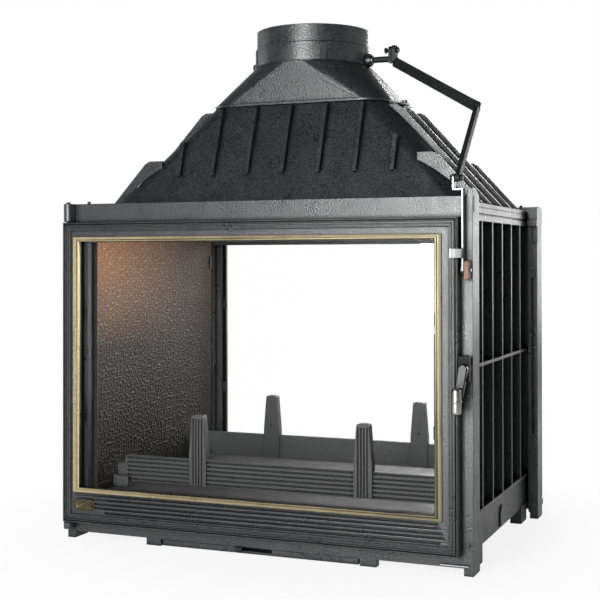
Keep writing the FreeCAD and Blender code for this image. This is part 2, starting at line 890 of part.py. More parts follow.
def handle_arm():
    pivot = V(latch_x, arm_back, latch_axis_height)
    head = rod(arm_head_radius, pivot, pivot + Y * (arm_front - arm_back))
    foot = rod(arm_foot_radius, V(grip_x, arm_back, arm_foot_height), V(grip_x, arm_front, arm_foot_height))
    web = [V(latch_x - arm_head_radius, arm_front, latch_axis_height),
           V(grip_x - arm_foot_radius, arm_front, arm_foot_height),
           V(grip_x + arm_foot_radius, arm_front, arm_foot_height),
           V(latch_x + arm_head_radius, arm_front, latch_axis_height)]
    shaft = rod(latch_shaft_radius, V(latch_x, arm_back, latch_axis_height),
                V(latch_x, tongue_front + tongue_thickness, latch_axis_height))
    neck = rod(arm_neck_radius, V(grip_x, arm_back, arm_foot_height), V(grip_x, grip_y, arm_foot_height))
    return join(head, foot, prism(web, Y * handle_arm_thickness), shaft, neck).cut(handle_grip())


def handle_grip():
    foot = V(grip_x, grip_y, arm_foot_height - grip_overhang)
    core = rod(grip_radius, foot, foot + Z * grip_length)
    waist = foot + Z * (grip_length - grip_ring_width) / 2
    ring = rod(grip_radius + grip_ring_step, waist, waist + Z * grip_ring_width)
    return join(core, ring)


def latch_tongue():
    hub = rod(tongue_hub_radius, V(latch_x, tongue_front, latch_axis_height),
              V(latch_x, tongue_front + tongue_thickness, latch_axis_height))
    finger = box(latch_x, latch_x + tongue_length, tongue_front, tongue_front + tongue_thickness,
                 latch_axis_height - tongue_width / 2, latch_axis_height + tongue_width / 2)
    hole = rod(latch_shaft_radius, V(latch_x, tongue_front, latch_axis_height),
               V(latch_x, tongue_front + tongue_thickness, latch_axis_height))
    return join(hub, finger).cut(hole)


def keeper():
    """Oval strike plate on the latch pillar with a sunk middle."""
    x = facade_right - keeper_width / 2 - keeper_inset
    keeper_face = front - keeper_thickness
    half = (keeper_length - keeper_width) / 2
    middle = latch_axis_height - keeper_drop
    plate = box(x - keeper_width / 2, x + keeper_width / 2, keeper_face, front, middle - half, middle + half)
    for z in (middle - half, middle + half):
        plate = plate.fuse(rod(keeper_width / 2, V(x, keeper_face, z), V(x, front, z)))
    inner = keeper_width / 2 - keeper_rim
    hollow = box(x - inner, x + inner, keeper_face, keeper_face + keeper_thickness / 2,
                 middle - half, middle + half)
    return plate.removeSplitter().cut(hollow)


# Log guards: a grooved bar with two posts, its ends in open brackets
def guard_post(x):
    """Post with a tapered head across the bar; reeds on its outer face and a blind hole in the inner one."""
    outer = -guard_plane - post_thickness / 2
    inner = outer + post_thickness
    half = post_width / 2
    head = half - post_taper
    shoulder = guard_bottom + guard_height + post_shoulder
    outline = [V(x - half, outer, guard_bottom), V(x + half, outer, guard_bottom), V(x + half, outer, shoulder),
               V(x + head, outer, post_top), V(x - head, outer, post_top), V(x - half, outer, shoulder)]
    post = prism(outline, Y * post_thickness)
    head_edges = [edge for edge in post.Edges if edge.BoundBox.ZMin > shoulder]
    corners = [edge for edge in head_edges if edge.BoundBox.XLength < post_taper]
    post = post.makeFillet(post_round, corners)
    first = x - post_reed_pitch * (post_reed_count - 1) / 2
    for k in range(post_reed_count):
        left = first + k * post_reed_pitch - post_reed_width / 2
        post = post.cut(box(left, left + post_reed_width, outer, outer + post_reed_depth,
                            guard_bottom, post_top - post_reed_margin))
    seat = V(x, inner, guard_bottom + guard_height + post_hole_rise)
    return post.cut(rod(post_hole_radius, seat, seat - Y * post_hole_depth))


def log_guard():
    y = -guard_plane
    top = guard_bottom + guard_height
    half = guard_thickness / 2
    guard = box(-guard_half_length, guard_half_length, y - half, y + half, guard_bottom, top)
    end_of_bar = guard_half_length - guard_end_step
    for side in (-1, 1):
        ends = sorted((side * guard_half_length, side * end_of_bar))
        guard = guard.cut(box(ends[0], ends[1], y - half, y + half, top - guard_end_step, top))
    for k in range(guard_groove_count):
        z0 = guard_bottom + (k + 0.5) * guard_height / guard_groove_count - guard_groove_width / 2
        reach = end_of_bar - guard_groove_gap
        outer = y - half
        guard = guard.cut(box(-reach, reach, outer, outer + guard_groove_depth, z0, z0 + guard_groove_width))
    return join(guard, guard_post(-post_offset), guard_post(post_offset))


def guard_brackets():
    brackets = []
    notch_half = guard_thickness / 2 + slide_clearance
    bracket_top = hearth_top + bracket_height
    for y in (-guard_plane, guard_plane):
        for side in (-1, 1):
            x0, x1 = sorted((side * liner_inner, side * (liner_inner - bracket_length)))
            block = box(x0, x1, y - bracket_depth / 2, y + bracket_depth / 2, hearth_top, bracket_top)
            notch = box(x0, x1, y - notch_half, y + notch_half, guard_bottom - seat_clearance, bracket_top)
            brackets.append(block.cut(notch))
    return group(*brackets)


# Air control: bar with a notch under the facade and a slide behind it
air_bar_left = -facade_shift - air_bar_half_length
air_bar_front = front + air_bar_inset
air_bar_back = air_bar_front + air_bar_depth
notch_left = air_bar_left + notch_offset - facade_shift


def air_bar():
    bar_box = box(air_bar_left, air_bar_left + 2 * air_bar_half_length, air_bar_front, air_bar_back,
                  air_bar_bottom, rail_bottom)
    notch = box(notch_left, notch_left + notch_length, air_bar_front, air_bar_back, notch_floor, rail_bottom)
    return bar_box.cut(notch)


def air_slide():
    knob_left = notch_left + side_clearance
    back = air_bar_back + seat_clearance
    top = rail_bottom - slide_clearance
    knob = box(knob_left, knob_left + slide_knob_width, front - slide_knob_proud, back + slide_thickness,
               notch_floor + seat_clearance, top)
    middle = knob_left + slide_knob_width / 2
    plate = box(middle - slide_half_length, middle + slide_half_length, back, back + slide_thickness,
                air_bar_bottom + side_clearance, top)
    return join(knob, plate)


# Damper: plate on a shaft through the collar, crank, bent strap, rocker with its finger lever
crank_outer = damper_shaft_end + crank_thickness
strap_inner = crank_outer + side_clearance
strap_x = strap_inner + strap_thickness / 2
strap_low_x = rocker_inner - rocker_joggle + rocker_thickness + side_clearance + strap_thickness / 2


def damper_shaft():
    start = V(-boss_reach - damper_shaft_tail, 0, damper_height)
    shaft = rod(damper_shaft_radius, start, V(damper_shaft_end, 0, damper_height))
    half = crank_eye_radius
    ear = box(damper_shaft_end, crank_outer, -half, half, damper_height - half, damper_pin_height)
    crown = rod(half, V(damper_shaft_end, 0, damper_pin_height), V(crank_outer, 0, damper_pin_height))
    hole = rod(bolt_radius, V(damper_shaft_end, 0, damper_pin_height), V(crank_outer, 0, damper_pin_height))
    flat_end = bore_radius - side_clearance
    plate_flat = box(-flat_end, flat_end, -half, half, damper_height, damper_height + half)
    return join(shaft, ear, crown).cut(hole).cut(plate_flat)


def damper_plate():
    """Butterfly plate with two flats, so that it stays inside the collar when it stands upright."""
    radius = bore_radius - damper_plate_gap
    disc = rod(radius, V(0, 0, damper_height), V(0, 0, damper_height + damper_plate_thickness))
    band = box(-radius, radius, -damper_plate_half_width, damper_plate_half_width,
               damper_height, damper_height + damper_plate_thickness)
    return disc.common(band)


def damper_plate_bolts():
    heads = []
    for side in (-1, 1):
        foot = V(side * damper_bolt_spacing / 2, 0, damper_height + damper_plate_thickness)
        heads.append(rod(bolt_head_radius, foot, foot + Z * bolt_head_height))
    return group(*heads)


def crank_bolt():
    start = V(damper_shaft_end - bolt_head_height, 0, damper_pin_height)
    end = V(strap_inner + strap_thickness + side_clearance + bolt_head_height, 0, damper_pin_height)
    return join(bolt(start, end), rod(bolt_radius, start - X * crank_bolt_tip, start))


def damper_strap():
    """Bent strip: a tab at the crank, a sloping run to the bend and a lower run to the rocker."""
    tab_outer = strap_inner + strap_thickness
    low_inner = strap_low_x - strap_thickness / 2
    low_outer = strap_low_x + strap_thickness / 2
    half = strap_width / 2
    tab_foot = V(strap_x, 0, damper_height - damper_shaft_radius)
    bend = V(strap_low_x, -strap_bend_depth, strap_bend_height)
    link = V(strap_low_x, rocker_y, link_height)
    pin_hole_radius = bolt_radius + link_clearance
    tab = box(strap_inner, tab_outer, -half, half, tab_foot.z, damper_pin_height)
    crown = rod(pin_hole_radius + strap_eye_wall, V(strap_inner, 0, damper_pin_height),
                V(tab_outer, 0, damper_pin_height))
    run = (bend - tab_foot).normalize()
    upper = bar(tab_foot, bend + run * (strap_thickness / 2), Z, strap_width, strap_thickness)
    lower = bar(bend, link, Y, strap_low_width, strap_thickness)
    knee = rod(half, V(low_inner, bend.y, bend.z), V(low_outer, bend.y, bend.z))
    eye = rod(strap_low_width / 2, V(low_inner, link.y, link.z), V(low_outer, link.y, link.z))
    pin_hole = rod(pin_hole_radius, V(strap_inner, 0, damper_pin_height), V(tab_outer, 0, damper_pin_height))
    link_hole = rod(bolt_radius + running_clearance,
                    V(low_inner, link.y, link.z), V(low_outer, link.y, link.z))
    crank_side = box(damper_shaft_end, strap_inner, -strap_width, strap_width,
                     tab_foot.z - strap_width, damper_pin_height)
    return join(tab, crown, upper, lower, knee, eye).cut(pin_hole).cut(link_hole).cut(crank_side)


def damper_rocker():
    half = rocker_width / 2
    y0 = rocker_y - half
    y1 = rocker_y + half
    high_inner = rocker_inner - rocker_joggle
    high_outer = high_inner + rocker_thickness
    step_bottom = rocker_joggle_height - rocker_thickness
    lower = box(rocker_inner, rocker_outer, y0, y1, rocker_pivot_height, rocker_joggle_height)
    foot = rod(half, V(rocker_inner, rocker_y, rocker_pivot_height),
               V(rocker_outer, rocker_y, rocker_pivot_height))
    joggle = box(high_inner, rocker_outer, y0, y1, step_bottom, rocker_joggle_height)
    upper = box(high_inner, high_outer, y0, y1, step_bottom, link_height)
    eye = rod(half, V(high_inner, rocker_y, link_height), V(high_outer, rocker_y, link_height))
    finger = box(rocker_inner, rocker_outer, y0 - finger_length, y1,
                 finger_height - finger_width / 2, finger_height + finger_width / 2)
    pivot_hole = rod(hinge_pin_radius + running_clearance, V(rocker_inner, rocker_y, rocker_pivot_height),
                     V(rocker_outer, rocker_y, rocker_pivot_height))
    link_hole = rod(bolt_radius, V(high_inner, rocker_y, link_height), V(high_outer, rocker_y, link_height))
    return join(lower, foot, joggle, upper, eye, finger).cut(pivot_hole).cut(link_hole)


def rocker_link_bolt():
    start = V(rocker_inner - rocker_joggle - bolt_head_height, rocker_y, link_height)
    end = V(strap_low_x + strap_thickness / 2 + side_clearance + bolt_head_height, rocker_y, link_height)
    return bolt(start, end)


bracket_inner = rocker_outer + side_clearance
bracket_outer = facade_right - bracket_block_inset


def rocker_bracket():
    bottom = rocker_pivot_height - bracket_block_height / 2
    block = box(bracket_inner, bracket_outer, rocker_y - bracket_block_proud, front,
                bottom, bottom + bracket_block_height)
    hole = rod(hinge_pin_radius, V(bracket_inner, rocker_y, rocker_pivot_height),
               V(bracket_outer, rocker_y, rocker_pivot_height))
    return block.cut(hole)


def rocker_pivot():
    head_end = rocker_inner - seat_clearance
    head_start = head_end - pivot_head
    pin = rod(hinge_pin_radius, V(head_start, rocker_y, rocker_pivot_height),
              V(bracket_outer + pivot_head, rocker_y, rocker_pivot_height))
    head = rod(bolt_head_radius, V(head_start, rocker_y, rocker_pivot_height),
               V(head_end, rocker_y, rocker_pivot_height))
    return join(pin, head)


# Every piece under its name; what belongs to a side is made for the front and turned for the rear
parts = {"base_plate": base_plate(), "smoke_baffle": smoke_baffle(), "hearth_grate": hearth_grate(),
         "ash_pan": ash_pan(), "flue_transition": flue_transition(), "damper_bushes": damper_bushes(),
         "transition_bolts": transition_bolts(), "guard_brackets": guard_brackets(),
         "damper_shaft": damper_shaft(), "damper_plate": damper_plate(),
         "damper_plate_bolts": damper_plate_bolts(), "crank_bolt": crank_bolt(),
         "damper_strap": damper_strap(), "damper_rocker": damper_rocker(),
         "rocker_link_bolt": rocker_link_bolt(), "rocker_bracket": rocker_bracket(),
         "rocker_pivot": rocker_pivot()}

for piece in (facade, hinge_pins, keeper, door_frame, door_glass, glass_seal, brass_trim, glass_clips,
              door_seal, latch_housing, handle_arm, handle_grip, latch_tongue, log_guard, air_bar, air_slide):
    shape = piece()
    parts["front_" + piece.__name__] = shape
    parts["rear_" + piece.__name__] = turned(shape)

for name, shape in (("side_panel", side_panel()), ("liner", liner())):
    parts["right_" + name] = shape
    parts["left_" + name] = turned(shape)

parts["hood_front"] = hood_front()
parts["hood_rear"] = turned(parts["hood_front"])
parts["hood_right"] = hood_side()
parts["hood_left"] = turned(parts["hood_right"])

screws = facade_screws()
parts["facade_screws"] = group(*screws, *[turned(screw) for screw in screws])

os.makedirs("parts", exist_ok=True)
for name, shape in parts.items():
    shape.exportStep("parts/" + name + ".step")
print(len(parts), "nodes")
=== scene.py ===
import json
import math

import bmesh
import bpy
import numpy as np
from mathutils import Matrix, Vector

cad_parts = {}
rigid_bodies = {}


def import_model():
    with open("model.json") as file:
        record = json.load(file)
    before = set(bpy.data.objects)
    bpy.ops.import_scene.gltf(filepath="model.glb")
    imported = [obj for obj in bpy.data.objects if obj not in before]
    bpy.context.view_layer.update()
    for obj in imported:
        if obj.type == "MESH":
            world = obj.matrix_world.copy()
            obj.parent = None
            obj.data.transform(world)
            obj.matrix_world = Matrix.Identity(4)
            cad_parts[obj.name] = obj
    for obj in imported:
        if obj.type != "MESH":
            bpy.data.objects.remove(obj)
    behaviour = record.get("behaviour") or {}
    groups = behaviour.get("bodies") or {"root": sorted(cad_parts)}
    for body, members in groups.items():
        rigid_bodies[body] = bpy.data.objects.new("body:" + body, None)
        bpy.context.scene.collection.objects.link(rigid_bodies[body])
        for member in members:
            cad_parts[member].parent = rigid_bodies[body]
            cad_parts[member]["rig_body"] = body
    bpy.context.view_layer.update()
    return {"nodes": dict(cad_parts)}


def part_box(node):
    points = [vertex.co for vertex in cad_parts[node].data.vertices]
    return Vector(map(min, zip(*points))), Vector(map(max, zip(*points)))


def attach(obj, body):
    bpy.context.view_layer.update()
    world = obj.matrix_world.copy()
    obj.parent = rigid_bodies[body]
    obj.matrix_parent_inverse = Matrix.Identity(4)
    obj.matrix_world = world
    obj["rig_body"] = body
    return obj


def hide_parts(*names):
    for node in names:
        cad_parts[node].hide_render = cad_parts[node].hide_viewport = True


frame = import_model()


# Hearth floor with its ash pit: the casting that everything else stands on.
# Bare grey iron dulled by heat, with the grain of its sand mould on every face.
# Poured in one piece; the fettler's grinding has broken its edges.
def feed(tree, entry, value):
    """Plain value on an input, or a link from the socket that gives it."""
    if isinstance(value, bpy.types.NodeSocket):
        tree.links.new(value, entry)
    else:
        entry.default_value = value


def add_node(tree, kind, **values):
    """New shader node with plain values or sockets on the named inputs."""
    made = tree.nodes.new(kind)
    for name, value in values.items():
        feed(tree, made.inputs[name.replace("_", " ")], value)
    return made


def reckon(tree, operation, *values):
    """Result of one operation on numbers and sockets."""
    made = tree.nodes.new("ShaderNodeMath")
    made.operation = operation
    for entry, value in zip(made.inputs, values):
        feed(tree, entry, value)
    return made.outputs[0]


def ranged(tree, value, **ends):
    """Value carried from one range into another and held at its ends."""
    return add_node(tree, "ShaderNodeMapRange", Value=value, **ends).outputs[0]


def blend(tree, share, first, second):
    """Colour that runs from the first to the second with a share; the node's colours are inputs 6 and 7."""
    mix = tree.nodes.new("ShaderNodeMix")
    mix.data_type = "RGBA"
    feed(tree, mix.inputs[0], share)
    feed(tree, mix.inputs[6], first)
    feed(tree, mix.inputs[7], second)
    return mix.outputs[2]


def make_cast_grain():
    """Grain of a sand casting: fine speckle, slow mottle, and a height that adds them up."""
    group = bpy.data.node_groups.new("cast_grain", "ShaderNodeTree")
    group.interface.new_socket("Place", in_out="INPUT", socket_type="NodeSocketVector")
    for name in ("Speckle Scale", "Mottle Scale"):
        group.interface.new_socket(name, in_out="INPUT", socket_type="NodeSocketFloat")
    for name in ("Speckle", "Mottle", "Height"):
        group.interface.new_socket(name, in_out="OUTPUT", socket_type="NodeSocketFloat")
    given = group.nodes.new("NodeGroupInput").outputs
    fine = add_node(group, "ShaderNodeTexNoise", Vector=given["Place"], Scale=given["Speckle Scale"],
                    Detail=2.0, Roughness=0.65)
    slow = add_node(group, "ShaderNodeTexNoise", Vector=given["Place"], Scale=given["Mottle Scale"],
                    Detail=4.0, Roughness=0.55)
    speckle = ranged(group, fine.outputs[0], From_Min=0.36, From_Max=0.66)
    mottle = ranged(group, slow.outputs[0], From_Min=0.3, From_Max=0.7)
    height = reckon(group, "MULTIPLY_ADD", mottle, 0.35, speckle)
    add_node(group, "NodeGroupOutput", Speckle=speckle, Mottle=mottle, Height=height)
    return group


cast_grain = make_cast_grain()


def grained_finish(name, dark, light, rough, metal=0.0, speckle=700.0, mottle=28.0, relief=0.0003, sheen=0.5):
    """Finish whose colour runs from dark to light with the speckle and whose gloss follows the mottle; both
    fall off in hollows as painted shade from ambient occlusion."""
    material = bpy.data.materials.new(name)
    material.use_nodes = True
    tree = material.node_tree
    place = tree.nodes.new("ShaderNodeTexCoord")
    grain = tree.nodes.new("ShaderNodeGroup")
    grain.node_tree = cast_grain
    feed(tree, grain.inputs["Place"], place.outputs["Object"])
    feed(tree, grain.inputs["Speckle Scale"], speckle)
    feed(tree, grain.inputs["Mottle Scale"], mottle)
    # Ambient occlusion paints shade into hollows: darker colour and less reflection there.
    hollow_shade = add_node(tree, "ShaderNodeAmbientOcclusion", Distance=0.009)
    hollow_shade.samples = 4
    unshaded_share = ranged(tree, hollow_shade.outputs["AO"], From_Min=0.42, From_Max=0.9, To_Min=0.03)
    colour = blend(tree, grain.outputs["Speckle"], (*dark, 1.0), (*light, 1.0))
    gloss = ranged(tree, grain.outputs["Mottle"], To_Min=rough - 0.06, To_Max=rough + 0.08)
    bump = add_node(tree, "ShaderNodeBump", Strength=0.7, Distance=relief, Height=grain.outputs["Height"])
    surface = tree.nodes["Principled BSDF"].inputs
    feed(tree, surface["Metallic"], metal)
    # Painted shade: hollows are blended toward near black (0.004).
    feed(tree, surface["Base Color"], blend(tree, unshaded_share, (0.004, 0.004, 0.004, 1.0), colour))
    feed(tree, surface["Specular IOR Level"], ranged(tree, unshaded_share, To_Max=sheen))
    feed(tree, surface["Roughness"], gloss)
    feed(tree, surface["Normal"], bump.outputs["Normal"])
    return material


def dress(piece, finish, body, nodes):
    """Finish, slot, body and the solids that the piece stands for."""
    piece.data.materials.append(finish)
    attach(piece, body)
    if nodes:
        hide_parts(*nodes)
    return piece


def casting(node, finish, edge=0.0007, rounding=2):
    """The solid's own surface, merged into whole faces, with every corner broken by a rounded bevel."""
    solid = frame["nodes"][node]
    points = np.empty(3 * len(solid.data.vertices), np.float32)
    solid.data.vertices.foreach_get("co", points)
    corners = np.empty(len(solid.data.loops), np.int32)
    solid.data.loops.foreach_get("vertex_index", corners)
    mesh = bpy.data.meshes.new(node + "_casting")
    mesh.from_pydata(points.reshape(-1, 3), [], corners.reshape(-1, 3))
    work = bmesh.new()
    work.from_mesh(mesh)
    bmesh.ops.remove_doubles(work, verts=work.verts, dist=2e-6)
    bmesh.ops.dissolve_limit(work, angle_limit=math.radians(0.8), verts=work.verts, edges=work.edges)
    work.to_mesh(mesh)
    work.free()
    mesh.shade_smooth()
    piece = bpy.data.objects.new(node + "_casting", mesh)
    bpy.context.collection.objects.link(piece)
    bevel = piece.modifiers.new("broken_edges", "BEVEL")
    bevel.width = edge
    bevel.segments = rounding
    bevel.limit_method = "ANGLE"
    bevel.angle_limit = math.radians(32)
    bevel.use_clamp_overlap = False
    flat = piece.modifiers.new("flat_faces", "WEIGHTED_NORMAL")
    flat.keep_sharp = True
    return dress(piece, finish, solid["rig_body"], [node])


hearth_iron = grained_finish("hearth_iron", (0.02, 0.019, 0.019), (0.066, 0.062, 0.06), 0.55)
casting("base_plate", hearth_iron)


# Side panels: ribbed iron castings that carry the hood, one on each side of the hearth.
# Charcoal heat-proof paint over the cast skin; fins, ribs and skirt are poured with the wall.
# They stand on two feet each and are bolted to the facades.
cast_paint = grained_finish("cast_paint", (0.004, 0.0056, 0.006), (0.04, 0.044, 0.045), 0.31, speckle=330.0,
                            relief=0.00028, sheen=0.72)
for node in ("right_side_panel", "left_side_panel"):
    casting(node, cast_paint, edge=0.0006)


# Liners: thin iron plates that hang inside the side panels and take the heat of the fire.
# Their faces are hammered all over between plain margins; the upper front part is orange-brown, partly heat
# tint and partly painted warm light.
# Each is a loose plate, lifted in from above.
def patch(grid, across=False, along=False):
    """Points and four-cornered faces of a grid, which may close on itself across or along."""
    rows, columns = grid.shape[:2]
    index = np.arange(rows * columns).reshape(rows, columns)
    if along:
        index = np.vstack([index, index[:1]])
    if across:
        index = np.hstack([index, index[:, :1]])
    around = [index[:-1, :-1], index[:-1, 1:], index[1:, 1:], index[1:, :-1]]
    return grid.reshape(-1, 3), np.stack(around, axis=-1).reshape(-1, 4)


def shape(name, patches, side=1, crease=35):
    """One closed mesh of several patches; side -1 turns it half a turn about Z for the rear."""
    starts = np.cumsum([0] + [len(points) for points, _ in patches[:-1]])
    points = np.vstack([points for points, _ in patches]) * (side, side, 1)
    faces = np.vstack([faces + start for (_, faces), start in zip(patches, starts)])
    mesh = bpy.data.meshes.new(name)
    mesh.from_pydata(points, [], faces)
    work = bmesh.new()
    work.from_mesh(mesh)
    bmesh.ops.remove_doubles(work, verts=work.verts, dist=2e-6)
    bmesh.ops.dissolve_degenerate(work, edges=work.edges, dist=1e-7)
    bmesh.ops.recalc_face_normals(work, faces=work.faces)
    work.to_mesh(mesh)
    work.free()
    mesh.shade_smooth()
    mesh.set_sharp_from_angle(angle=math.radians(crease))
    piece = bpy.data.objects.new(name, mesh)
    bpy.context.collection.objects.link(piece)
    return piece


def smooth_step(value, low, high):
    """Rises from 0 at low to 1 at high with level ends."""
    share = np.clip((value - low) / (high - low), 0, 1)
    return share * share * (3 - 2 * share)


def hammer_marks(along, up, pitch, draws):
    """Distance to the nearest of a jittered lattice of blows, as a share of the pitch, at most 1."""
    cell_a = np.floor(along / pitch).astype(int)
    cell_b = np.floor(up / pitch).astype(int)
    nearest = np.ones_like(along)
    for step_a in (-1, 0, 1):
        for step_b in (-1, 0, 1):
            a = cell_a + step_a
            b = cell_b + step_b
            jitter = draws[a % draws.shape[0], b % draws.shape[1]]
            gap_a = (a + jitter[..., 0]) * pitch - along
            gap_b = (b + jitter[..., 1]) * pitch - up
            nearest = np.minimum(nearest, np.hypot(gap_a, gap_b) / pitch)
    return nearest


def object_axes(tree):
    """X, Y and Z of the place on the object."""
    place = tree.nodes.new("ShaderNodeTexCoord")
    return add_node(tree, "ShaderNodeSeparateXYZ", Vector=place.outputs["Object"]).outputs


def liner_finish():
    """Hearth iron that turns orange-brown towards the top by the hinges, partly heat tint and partly a
    painted pool of warm light; darker towards the foot, with painted shade in the blows and along the end
    edges."""
    material = grained_finish("liner_tint_and_painted_glow", (0.11, 0.097, 0.088), (0.24, 0.21, 0.19), 0.45, speckle=420.0,
                              sheen=0.2)
    tree = material.node_tree
    colour = tree.nodes["Principled BSDF"].inputs["Base Color"]
    grey = colour.links[0].from_socket
    axes = object_axes(tree)
    # Darker towards the foot of the plate.
    upward_share = ranged(tree, axes["Z"], From_Min=0.13, From_Max=0.46, To_Min=0.04)
    darker_low = blend(tree, upward_share, (0.005, 0.0048, 0.0046, 1.0), grey)
    # Orange-brown towards the top front: partly heat tint, partly a painted pool of warm light.
    nearness = reckon(tree, "MULTIPLY", axes["X"], axes["Y"])
    front_share = ranged(tree, nearness, From_Min=-0.04, From_Max=0.07, To_Min=0.15)
    rise = ranged(tree, axes["Z"], From_Min=0.36, From_Max=0.6)
    tint_and_painted_glow = reckon(tree, "MULTIPLY", rise, front_share)
    tint_and_glow_colour = blend(tree, tint_and_painted_glow, darker_low, (0.95, 0.5, 0.25, 1.0))
    # Painted shade: darker in the hollows of the blows and along the plate's end edges.
    blow = tree.nodes.new("ShaderNodeAttribute")
    blow.attribute_name = "blow"
    hollow_shade = ranged(tree, blow.outputs["Fac"], From_Min=0.25, From_Max=0.75, To_Min=1.0, To_Max=0.0)
    depth = reckon(tree, "ABSOLUTE", axes["Y"])
    end_edge_shade = ranged(tree, depth, From_Min=liner_end - 0.0012, From_Max=liner_end - 0.0004)
    shade_and_soot = reckon(tree, "MULTIPLY_ADD", hollow_shade, 0.5, end_edge_shade)
    shade_and_soot.node.use_clamp = True
    feed(tree, colour, blend(tree, shade_and_soot, tint_and_glow_colour, (0.02, 0.017, 0.015, 1.0)))
    return material


liner_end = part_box("left_liner")[1].y
blow_pitch = 0.006
blow_depth = 0.003
side_margin = 0.001
end_margin = 0.012
margin_blend = 0.004
liner_columns, liner_rows = 300, 300
draws = np.random.default_rng(7).uniform(0.15, 0.85, (97, 101, 2))


def liner_patches():
    """Plate whose face is sunk by depth times (1 - share of the pitch to the nearest blow) to the power 1.5
    inside plain margins; a second patch closes it over the rim and the back."""
    low, high = (np.array(corner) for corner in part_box("left_liner"))
    ways = np.linspace(low[1], high[1], liner_columns)
    heights = np.linspace(low[2], high[2], liner_rows)
    run, rise = np.meshgrid(ways, heights)
    from_side = np.minimum(run - low[1], high[1] - run)
    from_end = np.minimum(rise - low[2], high[2] - rise)
    share = smooth_step(from_side, side_margin, side_margin + margin_blend)
    share *= smooth_step(from_end, end_margin, end_margin + margin_blend)
    blows = hammer_marks(run, rise, blow_pitch, draws)
    face = high[0] - blow_depth * share * (1 - blows) ** 1.5
    front = np.stack([face, run, rise], axis=-1)
    rim = np.concatenate([front[0], front[1:, -1], front[-1, -2::-1], front[-2:0:-1, 0]])
    flat_rim = np.column_stack([np.full(len(rim), low[0]), rim[:, 1:]])
    middle = np.tile((low[0], 0, (low[2] + high[2]) / 2), (len(rim), 1))
    return [patch(front), patch(np.stack([rim, flat_rim, middle]), across=True)]


def mark_blows(liner, side):
    """Distance to the nearest blow as a value on every point, for the painted shade in the blows."""
    places = np.empty(3 * len(liner.data.vertices))
    liner.data.vertices.foreach_get("co", places)
    _, along, up = places.reshape(-1, 3).T
    marks = hammer_marks(side * along, up, blow_pitch, draws)
    liner.data.attributes.new("blow", "FLOAT", "POINT").data.foreach_set("value", marks)


liner_tint_and_painted_glow = liner_finish()
for side, node in ((-1, "right_liner"), (1, "left_liner")):
    liner = shape(node + "_plate", liner_patches(), side)
    mark_blows(liner, side)
    dress(liner, liner_tint_and_painted_glow, "body", [node])


# Smoke baffle, grate and ash pan: the loose pieces of the fire bed.
# The baffle lies across the liners under the hood, the grate drops into the ledge of the pit.
# Baffle and grate are iron castings, the pan is folded steel sheet.
pan_sheet = grained_finish("pan_sheet", (0.06, 0.06, 0.062), (0.1, 0.1, 0.102), 0.42, metal=0.6)
casting("smoke_baffle", hearth_iron)
casting("hearth_grate", hearth_iron)
casting("ash_pan", pan_sheet, edge=0.0004)


# Log guards: reeded iron bars with two tapered posts each, standing in open brackets.
# Bare grey iron like the hearth; they are lifted out of the brackets by hand.
# The bracket blocks are cast stubs screwed to the hearth floor.
guard_iron = grained_finish("guard_iron", (0.014, 0.0144, 0.0145), (0.075, 0.077, 0.0775), 0.46, sheen=0.45)
casting("guard_brackets", guard_iron)
for side_name in ("front", "rear"):
    casting(side_name + "_log_guard", guard_iron)


# Facades: the upright frames on both sides, with the hinge post, the latch pillar and the lintel.
# Painted iron castings, standing on feet at both ends and on two lugs.
# Screws hold the hinge post; a small pin stands on the lintel and a plated rod lies along the sill.
def lathe(rows, start, along, flats=0, steps=36):
    """Turned solid: rows of (way along the axis, radius, cap); with flats the radius is the apothem of
    a polygon, and the cap rounds its corners off."""
    start = np.array(start, float)
    along = np.array(along, float) / np.linalg.norm(along)
    side = np.cross(along, (0.0, 0.6, 0.8) if abs(along[0]) > 0.5 else (1.0, 0.0, 0.0))
    side /= np.linalg.norm(side)
    angle = np.linspace(0, 2 * np.pi, steps, endpoint=False)
    rays = np.outer(np.cos(angle), side) + np.outer(np.sin(angle), np.cross(along, side))
    reach = np.ones(steps)
    if flats:
        half = np.pi / flats
        reach = 1 / np.cos((angle + half) % (2 * half) - half)
    way, radius, cap = (np.array(column) for column in zip(*rows))
    radii = np.minimum(radius[:, None] * reach, cap[:, None])
    grid = start + way[:, None, None] * along + radii[..., None] * rays
    return patch(grid, across=True)


def round_bar(start, end, radius, chamfer=0.0006):
    """Bar with broken ends from one point to another."""
    run = np.subtract(end, start)
    length = np.linalg.norm(run)
    ways = (0, 0, chamfer, length - chamfer, length, length)
    radii = (0, radius - chamfer, radius, radius, radius - chamfer, 0)
    return lathe(list(zip(ways, radii, radii)), start, run)


both_sides = (("front", 1), ("rear", -1))
zinc = grained_finish("zinc_plate", (0.2, 0.2, 0.204), (0.3, 0.3, 0.305), 0.42, metal=1.0, speckle=500.0,
                      relief=0.00006)
lintel_rise = 0.016
lintel_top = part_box("right_side_panel")[1].z + lintel_rise
facade_face = -0.27
pin_inset = 0.04
pin_setback = 0.012
pin_radius = 0.0032
pin_rise = 0.005
pin_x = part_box("front_facade")[0].x + pin_inset
pin_y = facade_face + pin_setback
rod_radius = 0.0017
rod_height = 0.0165
rod_ends = (0.336, 0.3865)
rod_y = facade_face - rod_radius
for side_name, side in both_sides:
    casting(side_name + "_facade", cast_paint, edge=0.0008)
    pin = round_bar((pin_x, pin_y, lintel_top), (pin_x, pin_y, lintel_top + pin_rise), pin_radius)
    lintel_pin = shape(side_name + "_lintel_pin", [pin], side)
    dress(lintel_pin, cast_paint, "body", [])
    rod = round_bar((rod_ends[0], rod_y, rod_height), (rod_ends[1], rod_y, rod_height), rod_radius)
    sill_rod = shape(side_name + "_sill_rod", [rod], side)
    dress(sill_rod, zinc, "body", [])
casting("facade_screws", cast_paint, edge=0.0007)


